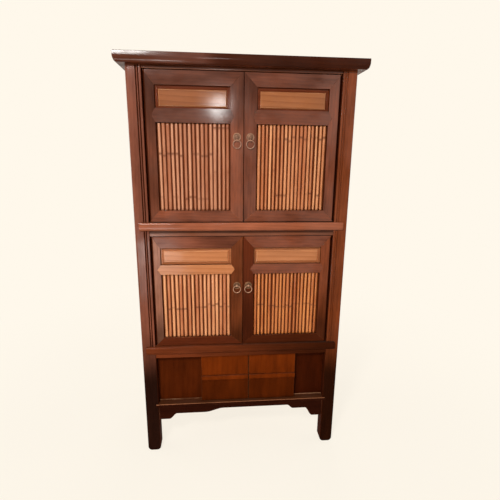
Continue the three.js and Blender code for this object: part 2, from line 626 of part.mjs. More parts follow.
// A door is built round its hinge axis: across runs from its outer edge to the middle,
// up runs from its bottom, and the depth is counted from its front face
function addDoor(name, side, sizes, stiles, bottom, top, lockFinish) {
  const door = new THREE.Group();
  door.position.set(side * HINGE_X, HINGE_Y, bottom);
  armoire.add(door);
  const height = top - bottom;
  const outer = stiles.hinge;
  const inner = DOOR_WIDTH - stiles.meeting;
  const toX = (across) => -side * (across - PIVOT_INSET);
  const toY = (depth) => depth - DOOR_THICKNESS / 2;
  const panelTop = height - sizes.topRail;
  const panelBottom = panelTop - sizes.smallPanel;
  const bambooTop = panelBottom - sizes.lockRail;
  const layer = (outline, from, to) => (
    pushed('y', outline.map(([across, up]) => [toX(across), up]), toY(from), toY(to))
  );
  const slab = (across, depth, up) => (
    layer(rectangle(across[0], across[1], up[0], up[1]), depth[0], depth[1])
  );

  // Grooves that hold the panels, a little larger than the tongues
  const slot = (low, high, front, thickness) => slab(
    [outer - TONGUE - SEAT_GAP, inner + TONGUE + SEAT_GAP],
    [front - SEAT_GAP, front + thickness + SEAT_GAP],
    [low - TONGUE - SEAT_GAP, high + TONGUE + SEAT_GAP],
  );
  const slots = [
    slot(panelBottom, panelTop, SMALL_PANEL_DEPTH, SMALL_PANEL_THICKNESS),
    slot(sizes.bottomRail, bambooTop, BAMBOO_BOARD_DEPTH, BAMBOO_BOARD_THICKNESS),
  ];

  // Lock rail outline with a pointed end in each stile
  const lockOutline = (spare) => {
    const middle = (panelBottom + bambooTop) / 2;
    const reach = BEAK_LENGTH + spare;
    return [
      [outer - spare, bambooTop - spare],
      [inner + spare, bambooTop - spare],
      [inner + reach, middle],
      [inner + spare, panelBottom + spare],
      [outer - spare, panelBottom + spare],
      [outer - reach, middle],
    ];
  };
  const beakCut = layer(lockOutline(SEAT_GAP), -CUT_OVERRUN, MITRE_LAYER + SEAT_GAP);

  // The door's section, with its hinge edge half round, from the outline of its inner end
  const round = DOOR_THICKNESS / 2;
  const hingeEdge = arc(round, round, round, round, Math.PI / 2, Math.PI * 1.5, CURVE_STEPS);
  const barTo = (across, start = hingeEdge) => {
    const outline = [...start, [across, 0], [across, DOOR_THICKNESS]];
    return pushed('z', outline.map(([a, depth]) => [toX(a), toY(depth)]), 0, height);
  };

  // Stiles are mitred on the front layer and run through on the layer behind
  const stile = (edge, innerEdge, bar) => {
    const mitred = [
      [edge, 0],
      [innerEdge, sizes.bottomRail],
      [innerEdge, height - sizes.topRail],
      [edge, height],
    ];
    const frontLayer = layer(mitred, -CUT_OVERRUN, MITRE_LAYER + CUT_OVERRUN);
    const core = slab([edge, innerEdge], [MITRE_LAYER, DOOR_THICKNESS + CUT_OVERRUN],
      [-CUT_OVERRUN, height + CUT_OVERRUN]);
    return cut(common(bar, joined(frontLayer, core)), beakCut, ...slots);
  };
  const reach = DOOR_GAP + PIVOT_PIN_SEAT;
  const pins = [
    uprightPin(0, 0, -reach, CUT_OVERRUN, PIVOT_PIN_RADIUS),
    uprightPin(0, 0, height - CUT_OVERRUN, height + reach, PIVOT_PIN_RADIUS),
  ];
  const hingeStile = stile(0, outer, barTo(outer));
  addMesh(door, `${name}_hinge_stile`, joined(hingeStile, ...pins), elm);
  const meetingBar = barTo(DOOR_WIDTH, [[inner, DOOR_THICKNESS], [inner, 0]]);
  addMesh(door, `${name}_meeting_stile`, stile(DOOR_WIDTH, inner, meetingBar), elm);

  // Rails: a mitred or pointed front layer, and a core that fits between the stiles
  const railCore = (low, high) => slab(
    [outer + SEAT_GAP, inner - SEAT_GAP],
    [0, DOOR_THICKNESS],
    [low, high],
  );
  const mitredFace = (edge, innerLevel) => {
    const along = SEAT_GAP * 2;
    const face = layer([
      [along, edge], [DOOR_WIDTH - along, edge],
      [inner - SEAT_GAP, innerLevel], [outer + SEAT_GAP, innerLevel],
    ], 0, MITRE_LAYER - SEAT_GAP);
    return common(face, barTo(DOOR_WIDTH));
  };
  addMesh(door, `${name}_top_rail`,
    cut(joined(mitredFace(height, panelTop), railCore(panelTop, height)), ...slots), elm);
  addMesh(door, `${name}_bottom_rail`,
    cut(joined(mitredFace(0, sizes.bottomRail), railCore(0, sizes.bottomRail)), ...slots), elm);
  const pointedFace = layer(lockOutline(0), 0, MITRE_LAYER - SEAT_GAP);
  addMesh(door, `${name}_lock_rail`,
    cut(joined(pointedFace, railCore(bambooTop, panelBottom)), ...slots), lockFinish);

  // Small panel: a tongue all round, a border that is narrower at the foot, and a raised field
  const ring = (grow, depth, foot = grow) => [
    [toX(outer - grow), toY(depth), panelBottom - foot],
    [toX(inner + grow), toY(depth), panelBottom - foot],
    [toX(inner + grow), toY(depth), panelTop + grow],
    [toX(outer - grow), toY(depth), panelTop + grow],
  ];
  const smallPanel = lofted([
    ring(TONGUE, SMALL_PANEL_DEPTH + SMALL_PANEL_THICKNESS),
    ring(TONGUE, SMALL_PANEL_DEPTH),
    ring(-sizes.border, SMALL_PANEL_DEPTH, -sizes.footBorder),
    ring(-sizes.border - FIELD_BEVEL, SMALL_PANEL_DEPTH - FIELD_RISE, -sizes.footBorder - FIELD_BEVEL),
  ], false);
  addMesh(door, `${name}_small_panel`, smallPanel, honeyWood);

  // Bamboo panel: half-round slats side by side on a thin board
  const board = slab(
    [outer - TONGUE, inner + TONGUE],
    [BAMBOO_BOARD_DEPTH, BAMBOO_BOARD_DEPTH + BAMBOO_BOARD_THICKNESS],
    [sizes.bottomRail - TONGUE, bambooTop + TONGUE],
  );
  const pitch = (inner - outer - SLAT_MARGIN * 2) / SLAT_COUNT;
  const half = (pitch - SLAT_SPACE) / 2;
  const root = BAMBOO_BOARD_DEPTH + BAMBOO_BOARD_THICKNESS / 2;
  const slatLine = Array.from({ length: SLAT_COUNT }, (_, i) => {
    const centre = outer + SLAT_MARGIN + pitch * (i + 1 / 2);
    return arc(centre, BAMBOO_BOARD_DEPTH, half, SLAT_HEIGHT, -Math.PI, 0, SLAT_STEPS);
  });
  const slatOutline = [
    [outer + SLAT_MARGIN, root],
    [outer + SLAT_MARGIN, BAMBOO_BOARD_DEPTH],
    ...slatLine.flat(),
    [inner - SLAT_MARGIN, BAMBOO_BOARD_DEPTH],
    [inner - SLAT_MARGIN, root],
  ].map(([across, depth]) => [toX(across), toY(depth)]);
  const slats = pushed('z', slatOutline, sizes.bottomRail + SEAT_GAP, bambooTop - SEAT_GAP);
  addMesh(door, `${name}_bamboo_panel`, joined(board, slats), bamboo);

  const pullHeight = sizes.bottomRail + (bambooTop - sizes.bottomRail) * sizes.pullShare;
  addPull(door, name, [toX(DOOR_WIDTH - stiles.meeting / 2), toY(0), pullHeight], sizes.eyeDrop);
}

// Ring pull: a crowned plate with an eye, and a ring that swings in the eye
function addPull(door, name, place, eyeDrop) {
  const pull = new THREE.Group();
  pull.position.set(...place);
  door.add(pull);
  const profile = [
    [0, 0],
    [PLATE_RADIUS, 0],
    [PLATE_RADIUS, PLATE_EDGE],
    [PLATE_RADIUS - PLATE_EDGE, PLATE_THICKNESS],
    [PLATE_RADIUS / 2, PLATE_THICKNESS + PLATE_CROWN / 2],
    [0, PLATE_THICKNESS + PLATE_CROWN],
  ].map(([radius, out]) => new THREE.Vector2(radius, out));
  const plate = new THREE.LatheGeometry(profile, ROUND_STEPS);
  plate.rotateX(Math.PI);
  const eyeOut = PLATE_THICKNESS + EYE_RADIUS;
  const eye = new THREE.TorusGeometry(EYE_RADIUS, EYE_WIRE_RADIUS, WIRE_STEPS, ROUND_STEPS / 2);
  eye.rotateY(Math.PI / 2);
  eye.translate(0, -eyeOut, -eyeDrop);
  addMesh(pull, `${name}_pull_plate`, joined(plate, eye), brass);
  const ring = new THREE.TorusGeometry(RING_RADIUS, RING_WIRE_RADIUS, WIRE_STEPS, ROUND_STEPS);
  ring.rotateX(Math.PI / 2);
  const hung = addMesh(pull, `${name}_pull_ring`, ring, brass);
  hung.position.set(0, -eyeOut, -eyeDrop - RING_RADIUS);
}

for (const [sideName, side] of [['left', -1], ['right', 1]]) {
  addMesh(armoire, `post_front_${sideName}`, frontPost(side), elm);
  addMesh(armoire, `post_rear_${sideName}`, rearPost(side), elm);
  addMesh(armoire, `side_panel_${sideName}`, sidePanel(side), elm);
}
addMesh(armoire, 'cornice', corniceFrame(), elm);
addMesh(armoire, 'top_board', topBoard(), elm);
addMesh(armoire, 'head_rail', headRail(), elm);
addMesh(armoire, 'mid_rail', doorRail({
  bottom: MID_BOTTOM,
  top: MID_TOP,
  strip: MID_STRIP_HEIGHT,
  stopBelow: STOP_HEIGHT,
  pinsAbove: true,
  pinsBelow: true,
}), elm);
addMesh(armoire, 'sill_rail', doorRail({
  bottom: SILL_BOTTOM,
  top: SILL_TOP,
  strip: SILL_STRIP_HEIGHT,
  stopBelow: 0,
  pinsAbove: true,
  pinsBelow: false,
}), elm);
addMesh(armoire, 'base_rail', baseRail(), darkElm);
addMesh(armoire, 'apron', apron(), darkElm);
addMesh(armoire, 'back_panel', backPanel(), innerWood);
addMesh(armoire, 'tv_deck', deck(MID_TOP + STOP_HEIGHT, RAIL_BACK + SEAT_GAP), innerWood);
addMesh(armoire, 'lower_deck', deck(SILL_TOP + STOP_HEIGHT, RAIL_BACK + SEAT_GAP), innerWood);
addMesh(armoire, 'base_deck',
  deck(BASE_HEIGHT, FRONT - BASE_RAIL_PROUD + BASE_RAIL_DEPTH + SEAT_GAP), innerWood);
addMesh(armoire, 'fixed_panel_left',
  fixedPanel(SEAT_GAP - DOORWAY_HALF, CASE_LEFT - SEAT_GAP), drawerElm);
addMesh(armoire, 'fixed_panel_right',
  fixedPanel(CASE_RIGHT + SEAT_GAP, DOORWAY_HALF - SEAT_GAP), drawerElm);
addMesh(armoire, 'drawer_case', drawerCase(), innerWood);
for (const row of ['upper', 'lower']) {
  for (const column of ['left', 'right']) {
    addMesh(armoire, `drawer_${row}_${column}`, drawer(column, row), drawerElm);
  }
}
for (const [sideName, side] of [['left', -1], ['right', 1]]) {
  const lowerLock = side < 0 ? honeyWood : elm;
  addDoor(`door_upper_${sideName}`, side, UPPER_DOOR, STILES.upper[sideName],
    MID_TOP + DOOR_GAP, HEAD_BOTTOM - DOOR_GAP, elm);
  addDoor(`door_lower_${sideName}`, side, LOWER_DOOR, STILES.lower[sideName],
    SILL_TOP + DOOR_GAP, MID_BOTTOM - DOOR_GAP, lowerLock);
}

export default armoire;
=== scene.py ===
"""Looks of a tall media armoire in lacquered elm, with split bamboo in its doors.

Everything is in metres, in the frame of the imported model: the front faces -Y, +Z is up and the
origin is on the floor under the middle of the cabinet.
"""

import logging
import math
from collections.abc import Callable, Sequence
from dataclasses import dataclass, field, replace
from enum import Enum

import bmesh
import bpy
from mathutils import Matrix, Vector


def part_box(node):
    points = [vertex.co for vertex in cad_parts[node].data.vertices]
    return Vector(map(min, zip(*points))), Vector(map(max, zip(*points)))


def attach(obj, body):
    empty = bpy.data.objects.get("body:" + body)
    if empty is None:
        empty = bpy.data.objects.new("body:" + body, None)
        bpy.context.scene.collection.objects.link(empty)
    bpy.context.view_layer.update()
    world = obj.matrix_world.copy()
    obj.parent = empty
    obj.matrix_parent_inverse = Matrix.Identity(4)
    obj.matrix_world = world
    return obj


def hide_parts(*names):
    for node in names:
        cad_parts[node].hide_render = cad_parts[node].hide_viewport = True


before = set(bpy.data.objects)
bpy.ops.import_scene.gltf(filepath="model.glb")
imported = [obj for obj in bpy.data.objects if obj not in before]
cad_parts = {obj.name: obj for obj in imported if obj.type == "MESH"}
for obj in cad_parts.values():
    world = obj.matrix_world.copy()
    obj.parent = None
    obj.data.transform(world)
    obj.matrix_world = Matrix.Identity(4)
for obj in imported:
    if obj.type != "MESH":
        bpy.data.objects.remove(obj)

LOG = logging.getLogger("armoire")

Rgb = tuple[int, int, int]
Colour = tuple[float, float, float]
Span = tuple[float, float]
Face = bpy.types.MeshPolygon

# Names used by more than one part

BOARD_ATTRIBUTE = "board"
WORN_ATTRIBUTE = "worn"
SLAT_ATTRIBUTE = "slat_tone"
RIM_ATTRIBUTE = "slat_rim"
JOINT_ATTRIBUTE = "culm_joint"
MERGE_DISTANCE = 1e-5
SMOOTH_ANGLE = math.radians(32)
QUARTER = math.pi / 2
DUST_COLOUR = (176, 158, 138)

# How far a normal leans on a broad face, beside a gap and on a mitre
EDGE_LEAN = 0.9
GAP_LEAN = 0.3
MITRE_LEAN = 0.2

# Patterns per metre along, across and into the grain
SLOW_FIGURE = (2.2, 7.0, 7.0)
STAIN_CLOUDS = (4.5, 20.0, 20.0)
FIBRES = (9.0, 420.0, 420.0)
PORES = (70.0, 1500.0, 1500.0)

# Thickness of a bamboo slat behind the plane that it lies on
SLAT_BACK = 0.0004

# The wave pattern's scale for one ring per metre, and how far apart two boards lie in the log
RING_SCALE = 0.314
BOARD_SHIFT = 9.0


class Slot(Enum):
    """The record's material slots."""

    ELM = "elm"
    DARK_ELM = "dark_elm"
    DRAWER_ELM = "drawer_elm"
    INNER_WOOD = "inner_wood"
    HONEY_WOOD = "honey_wood"
    BAMBOO = "bamboo"
    BRASS = "brass"


class Run(Enum):
    """The way that a board's grain runs, with the turn that brings it onto X."""

    ACROSS = (0.0, 0.0, 0.0)
    DEEP = (0.0, 0.0, -QUARTER)
    UP = (0.0, QUARTER, 0.0)


class Side(Enum):
    """The side of the armoire that a piece is on."""

    LEFT = -1
    RIGHT = 1

    @property
    def word(self) -> str:
        """The side's word in piece names."""
        return self.name.lower()


class Tier(Enum):
    """The upper or lower row of doors or drawers."""

    UPPER = "upper"
    LOWER = "lower"


class Draw(Enum):
    """What is drawn for each bamboo slat: the seed's offset, and the least and greatest value."""

    JOINT = (12, 0.455, 0.545)
    WAVE = (13, 0.0, 6.3)
    WIDTH = (14, 0.84, 1.12)
    LEAN = (15, -0.0014, 0.0014)
    BOW = (16, -0.0008, 0.0008)
    CROWN = (17, 0.82, 0.93)
    TONE = (18, 0.0, 1.0)
    PLACE = (19, 0.45, 0.55)


def linear(colour: Rgb) -> Colour:
    """The linear colour of an 8-bit sRGB one."""
    shares = [level / 255 for level in colour]
    return tuple(s / 12.92 if s <= 0.04045 else ((s + 0.055) / 1.055) ** 2.4 for s in shares)


# Node trees


class Signal:
    """A node's output. Arithmetic with it adds Math nodes.

    Args:
        net: the net that the node is in.
        socket: the output socket.
    """

    def __init__(self, net: "Net", socket: bpy.types.NodeSocket) -> None:
        """Keeps the net and the socket."""
        self.net, self.socket = net, socket

    def __add__(self, other: "Value") -> "Signal":
        """This and another value together."""
        return self.net.math("ADD", self, other)

    def __sub__(self, other: "Value") -> "Signal":
        """This less another value."""
        return self.net.math("SUBTRACT", self, other)

    def __mul__(self, other: "Value") -> "Signal":
        """This times another value."""
        return self.net.math("MULTIPLY", self, other)

    def __truediv__(self, other: "Value") -> "Signal":
        """This divided by another value."""
        return self.net.math("DIVIDE", self, other)

    def clamped(self) -> "Signal":
        """This, kept between 0 and 1."""
        return self.net.math("ADD", self, 0.0, clamp=True)


Value = Signal | float | int | bool | str | tuple | bpy.types.Material | bpy.types.NodeTree


class Net:
    """Adds nodes to one tree and joins them.

    Args:
        tree: the shader or geometry tree that gets the nodes.
    """

    def __init__(self, tree: bpy.types.NodeTree) -> None:
        """Keeps the tree."""
        self.tree = tree

    def _add(self, kind: str, settings: dict | None) -> bpy.types.Node:
        """Adds a node, with values of its own properties."""
        made = self.tree.nodes.new(kind)
        for key, value in (settings or {}).items():
            setattr(made, key, value)
        return made

    def _feed(self, target: bpy.types.NodeSocket, value: Value) -> None:
        """Joins a signal to an input, or sets the input's own value."""
        if isinstance(value, Signal):
            self.tree.links.new(value.socket, target)
        else:
            target.default_value = (*value, 1.0) if target.type == "RGBA" else value

    def node(self, kind: str, settings: dict | None = None, **inputs: Value) -> dict[str, Signal]:
        """Adds a node.

        Args:
            kind: the node's type name.
            settings: values of the node's own properties.
            **inputs: values for its inputs, by name, with _ for a space.

        Returns:
            Its outputs by name.
        """
        made = self._add(kind, settings)
        for key, value in inputs.items():
            self._feed(made.inputs[key.replace("_", " ")], value)
        return {socket.name: Signal(self, socket) for socket in made.outputs if socket.enabled}

    def out(self, kind: str, settings: dict | None = None, **inputs: Value) -> Signal:
        """Adds a node as node() does, and gives its first output."""
        return next(iter(self.node(kind, settings, **inputs).values()))

    def filled(self, kind: str, settings: dict, values: Sequence[Value]) -> Signal:
        """Adds a node whose inputs share their names.

        Args:
            kind: the node's type name.
            settings: values of the node's own properties.
            values: values for its inputs, in order.

        Returns:
            Its first output.
        """
        made = self._add(kind, settings)
        for target, value in zip([socket for socket in made.inputs if socket.enabled], values):
            self._feed(target, value)
        return Signal(self, next(socket for socket in made.outputs if socket.enabled))

    def math(self, operation: str, *values: Value, clamp: bool = False) -> Signal:
        """A Math node's result, which clamp keeps between 0 and 1."""
        return self.filled("ShaderNodeMath", {"operation": operation, "use_clamp": clamp}, values)

    def vector(self, operation: str, *values: Value) -> Signal:
        """A Vector Math node's result."""
        return self.filled("ShaderNodeVectorMath", {"operation": operation}, values)

    def mix(self, share: Value, first: Value, second: Value) -> Signal:
        """A colour between two colours, the first at a share of 0 and the second at 1."""
        return self.filled("ShaderNodeMix", {"data_type": "RGBA"}, (share, first, second))

    def combine(self, x: Value, y: Value, z: Value) -> Signal:
        """A vector of three values."""
        return self.out("ShaderNodeCombineXYZ", X=x, Y=y, Z=z)

    def separate(self, vector: Signal) -> tuple[Signal, Signal, Signal]:
        """The three values of a vector."""
        return tuple(self.node("ShaderNodeSeparateXYZ", Vector=vector).values())

    def stretch(self, value: Value, source: tuple[Value, Value], target: tuple[Value, Value]) -> Signal:
        """A value eased from the span that it comes in to another one."""
        return self.out(
            "ShaderNodeMapRange", {"interpolation_type": "SMOOTHSTEP"}, Value=value,
            From_Min=source[0], From_Max=source[1], To_Min=target[0], To_Max=target[1],
        )

    def noise(self, vector: Signal, scale: float, detail: float, roughness: float) -> Signal:
        """A noise pattern's value on a vector."""
        inputs = {"Vector": vector, "Scale": scale, "Detail": detail, "Roughness": roughness}
        return self.out("ShaderNodeTexNoise", **inputs)

    def attribute(self, name: str) -> Signal:
        """A mesh attribute's value in a shader tree."""
        settings = {"attribute_type": "GEOMETRY", "attribute_name": name}
        return self.node("ShaderNodeAttribute", settings)["Fac"]

    def group(self, tree: bpy.types.NodeTree, **inputs: Value) -> dict[str, Signal]:
        """A shared effect's outputs, from its inputs by name."""
        return self.node("ShaderNodeGroup", {"node_tree": tree}, **inputs)


class Surface(Net):
    """The net of a material or a world, which starts empty.

    Args:
        owner: the material or world.
    """

    def __init__(self, owner: bpy.types.Material | bpy.types.World) -> None:
        """Clears the owner's nodes."""
        owner.use_nodes = True
        owner.node_tree.nodes.clear()
        super().__init__(owner.node_tree)
        self.place = self.node("ShaderNodeTexCoord")["Object"]

    def dusted(self, effects: "SharedEffects", amount: float, colour: Signal) -> tuple[Signal, Signal]:
        """The dust's mask, and a colour with the dust on it."""
        mask = self.group(effects.dust, Vector=self.place, Amount=amount)["Mask"]
        return mask, self.mix(mask, colour, linear(DUST_COLOUR))

    def bump(self, height: Signal, distance: float, strength: float = 1.0) -> Signal:
        """The normal of a surface with relief."""
        return self.out("ShaderNodeBump", Strength=strength, Distance=distance, Height=height)

    def principled(self, **inputs: Value) -> None:
        """Ends a material with a Principled shader."""
        shader = self.out("ShaderNodeBsdfPrincipled", **inputs)
        self.node("ShaderNodeOutputMaterial", Surface=shader)

    def blend(self, share: Signal, first: Signal, second: Signal) -> Signal:
        """A shader between two shaders."""
        return self.filled("ShaderNodeMixShader", {}, (share, first, second))

    def seen(self) -> Signal:
        """1 for rays that show the backdrop: the camera's, and those of metal and glass."""
        rays = self.node("ShaderNodeLightPath")
        seen = self.math("MAXIMUM", rays["Is Camera Ray"], rays["Is Glossy Ray"])
        return self.math("MAXIMUM", seen, rays["Is Transmission Ray"])


class Group(Net):
    """A new node group: a geometry group, or a shader group if it names its outputs.

    Args:
        name: the group's name.
        inputs: each input's default, or its kind if it has no default.
        outputs: the values that a shader group gives.
    """

    def __init__(self, name: str, inputs: dict[str, float | int | str], outputs: Sequence[str] = ()) -> None:
        """Makes the group and its sockets."""
        tree = bpy.data.node_groups.new(name, "ShaderNodeTree" if outputs else "GeometryNodeTree")
        for label, default in inputs.items():
            kind = {float: "Float", int: "Int"}.get(type(default), default)
            socket_type = f"NodeSocket{kind}"
            made = tree.interface.new_socket(name=label, in_out="INPUT", socket_type=socket_type)
            if kind != default:
                made.default_value = default
        for label in outputs or ("Geometry",):
            socket_type = "NodeSocketFloat" if outputs else "NodeSocketGeometry"
            tree.interface.new_socket(name=label, in_out="OUTPUT", socket_type=socket_type)
        super().__init__(tree)
        self.given = self.node("NodeGroupInput")

    def ended(self, **values: Signal) -> bpy.types.NodeTree:
        """Puts the group's outputs in place, and gives its tree."""
        self.node("NodeGroupOutput", **values)
        return self.tree

    def dressed(self, geometry: Signal) -> bpy.types.NodeTree:
        """Ends a geometry group: its instances made real, in the material that it is given."""
        real = self.out("GeometryNodeRealizeInstances", Geometry=geometry)
        finish = self.given["Finish"]
        return self.ended(Geometry=self.out("GeometryNodeSetMaterial", Geometry=real, Material=finish))


# Shader groups shared by the finishes


class SharedEffects:
    """The effects that more than one finish uses, each a node group built once."""

    def __init__(self) -> None:
        """Builds the groups."""
        self.grain = self._plank_grain()
        self.rub = self._rubbed_edges()
        self.dust = self._settled_dust()
        self.stain = self._uneven_stain()

    @staticmethod
    def _plank_grain() -> bpy.types.NodeTree:
        """Growth rings, fibres and pores of a plank whose grain runs along X.

        Returns:
            A group from Vector, Rings per Metre and Wander to Tone, Pores and Height.
        """
        inputs = {"Vector": "Vector", "Rings per Metre": 60.0, "Wander": 0.02}
        net = Group("plank_grain", inputs, ("Tone", "Pores", "Height"))
        board = net.attribute(BOARD_ATTRIBUTE)
        shift = net.combine(board * 3.7, board * 0.31 + 0.07, board * 0.23 - 0.11)
        place = net.vector("ADD", net.given["Vector"], shift)
        along, wide, deep = net.separate(place)

        def pattern(scales: Colour, detail: float, roughness: float) -> Signal:
            """Noise that is stretched along the grain."""
            return net.noise(net.vector("MULTIPLY", place, scales), 1.0, detail, roughness)

        sway = (pattern(SLOW_FIGURE, 2.0, 0.55) - 0.5) * net.given["Wander"]
        rings = net.node(
            "ShaderNodeTexWave", {"wave_type": "RINGS", "rings_direction": "X", "wave_profile": "SAW"},
            Vector=net.combine(along * 0.03, wide + sway, deep + along * 0.035 + sway),
            Scale=net.given["Rings per Metre"] * RING_SCALE, Distortion=1.1, Detail=2.0, Detail_Scale=0.9,
            Detail_Roughness=0.6,
        )["Fac"]
        late = net.math("POWER", rings, 2.4)
        fibres = pattern(FIBRES, 3.0, 0.6)
        dashes = net.stretch(pattern(PORES, 1.0, 0.4), (0.60, 0.70), (0.0, 1.0))
        pores = dashes * (late * 0.7 + 0.3)
        tone = (late * -0.55 + 0.78 + (fibres * 0.5 - 0.25)).clamped()
        return net.ended(Tone=tone, Pores=pores, Height=pores * -0.8 + fibres * 0.35)

    @staticmethod
    def _rubbed_edges() -> bpy.types.NodeTree:
        """Wear of the finish on eased arrises, broken up by noise. On wood its mask also places a painted
        highlight along them.

        Returns:
            A group from Vector and Amount to Mask.
        """
        net = Group("rubbed_edges", {"Vector": "Vector", "Amount": 0.5}, ("Mask",))
        patches = net.stretch(net.noise(net.given["Vector"], 9.0, 3.0, 0.6), (0.36, 0.66), (0.15, 1.0))
        worn = net.attribute(WORN_ATTRIBUTE) * net.given["Amount"]
        return net.ended(Mask=(worn * patches).clamped())

    @staticmethod
    def _settled_dust() -> bpy.types.NodeTree:
        """Fine dust that lies on faces that look up.

        Returns:
            A group from Vector and Amount to Mask.
        """
        net = Group("settled_dust", {"Vector": "Vector", "Amount": 0.2}, ("Mask",))
        normal = net.node("ShaderNodeNewGeometry")["Normal"]
        up = net.stretch(net.separate(normal)[2], (0.75, 0.98), (0.0, 1.0))
        clouds = net.stretch(net.noise(net.given["Vector"], 5.0, 4.0, 0.6), (0.35, 0.7), (0.3, 1.0))
        return net.ended(Mask=up * clouds * net.given["Amount"])

    @staticmethod
    def _uneven_stain() -> bpy.types.NodeTree:
        """Cloudy stain, with painted shade that changes with the height and towards the right.

        Returns:
            A group from the object's Vector and the Grain's own to Level, which multiplies a colour,
            and to Fade, the part of it that comes from the place along X, which is painted shade.
        """
        inputs = {
            "Vector": "Vector", "Grain": "Vector", "Clouds": 0.15, "Dark Below": 0.3, "Full Above": 0.9,
            "Low Shade": 1.0, "Fade From": 0.0, "Fade To": 1.0, "Right Shade": 1.0,
        }
        net = Group("uneven_stain", inputs, ("Level", "Fade"))
        given = net.given
        shift = net.attribute(BOARD_ATTRIBUTE) * BOARD_SHIFT
        place = net.vector("ADD", net.vector("MULTIPLY", given["Grain"], STAIN_CLOUDS), shift)
        level = (net.noise(place, 1.0, 4.0, 0.6) - 0.5) * given["Clouds"] + 1.0
        # Painted shade: the level drops below a span of heights, or above it where the span is reversed, and
        # towards the right
        across, _, height = net.separate(given["Vector"])
        shade = net.stretch(height, (given["Dark Below"], given["Full Above"]), (given["Low Shade"], 1.0))
        fade = net.stretch(across, (given["Fade From"], given["Fade To"]), (1.0, given["Right Shade"]))
        return net.ended(Level=level * shade * fade, Fade=fade)


# Finishes


@dataclass(frozen=True)
class WoodFinish:
    """A stained and lacquered wood.

    Attributes:
        name: the finish's name, used for its materials.
        slot: the record's slot that it belongs to. It is not used.
        light: colour of the early wood.
        dark: colour of the late wood.
        rubbed: colour where the arrises are worn, which also serves as a painted highlight along them.
        rings: growth rings per metre.
        figure: how strongly the rings show, from 0 to 1.
        roughness: of the lacquer, at its middle.
        specular: the Specular IOR Level of the lacquer.
        polish: weight of the clear coat, which fades with the stain's level and its painted shade.
        gloss: roughness of the clear coat.
        wear: how much of the arrises is worn.
        dust: how much dust lies on faces that look up.
        clouds: unevenness of the stain.
        low_shade: painted shade, which multiplies the colour at the first height of low_span.
        low_span: heights between which that fades.
        right_shade: painted shade, which multiplies the colour, and the polish once more, on the right.
        right_span: places along X between which that sets in.
        relief: depth of the grain in metres.
    """

    name: str
    slot: Slot
    light: Rgb
    dark: Rgb
    rubbed: Rgb
    rings: float = 70.0
    figure: float = 0.5
    roughness: float = 0.42
    specular: float = 0.008
    polish: float = 0.65
    gloss: float = 0.13
    wear: float = 0.5
    dust: float = 0.05
    clouds: float = 1.1
    low_shade: float = 1.0
    low_span: Span = (0.3, 0.9)
    right_shade: float = 1.0
    right_span: Span = (0.0, 1.0)
    relief: float = 0.00012

    def variant(
        self, name: str, light: Rgb | None = None, dark: Rgb | None = None, **changes: object,
    ) -> "WoodFinish":
        """This finish under another name, with other colours or values."""
        return replace(self, name=name, light=light or self.light, dark=dark or self.dark, **changes)

    def material(self, effects: SharedEffects, run: Run) -> bpy.types.Material:
        """Makes the material for boards whose grain runs one way.

        Args:
            effects: the shared node groups.
            run: the way of the grain.

        Returns:
            The new material.
        """
        made = bpy.data.materials.new(f"{self.name}_{run.name.lower()}")
        net = Surface(made)
        turned = net.out("ShaderNodeMapping", Vector=net.place, Rotation=run.value)
        grain = net.group(effects.grain, Vector=turned, Rings_per_Metre=self.rings)
        # The stain's level also carries the finish's painted shade, by height and towards the right
        stain = net.group(
            effects.stain, Vector=net.place, Grain=turned, Clouds=self.clouds, Low_Shade=self.low_shade,
            Dark_Below=self.low_span[0], Full_Above=self.low_span[1], Right_Shade=self.right_shade,
            Fade_From=self.right_span[0], Fade_To=self.right_span[1],
        )
        dark = linear(self.dark)
        tone = grain["Tone"] * self.figure + (1 - self.figure) * 0.6
        colour = net.vector("SCALE", net.mix(tone, dark, linear(self.light)), stain["Level"])
        colour = net.mix(grain["Pores"] * (0.35 * self.figure), colour, tuple(level * 0.35 for level in dark))
        # Lighter arrises: worn finish, and a painted highlight along them
        rub = net.group(effects.rub, Vector=net.place, Amount=self.wear)["Mask"]
        colour = net.mix(rub, colour, net.vector("SCALE", linear(self.rubbed), stain["Level"]))
        dust, colour = net.dusted(effects, self.dust, colour)
        smears = net.noise(net.place, 5.0, 4.0, 0.6)
        rough = grain["Pores"] * 0.1 + (smears * 0.16 + (self.roughness - 0.08))
        kept = net.stretch(net.separate(net.place)[2], POLISH_SPAN, (self.polish * POLISH_LEFT, self.polish))
        coat = stain["Level"] * stain["Fade"] * kept * net.stretch(smears, (0.34, 0.66), (0.6, 1.4))
        net.principled(
            Base_Color=colour, Roughness=(dust * 0.4 + rough).clamped(), Specular_IOR_Level=self.specular,
            Normal=net.bump(grain["Height"], self.relief), Coat_Weight=coat.clamped(),
            Coat_Roughness=self.gloss,
        )
        return made


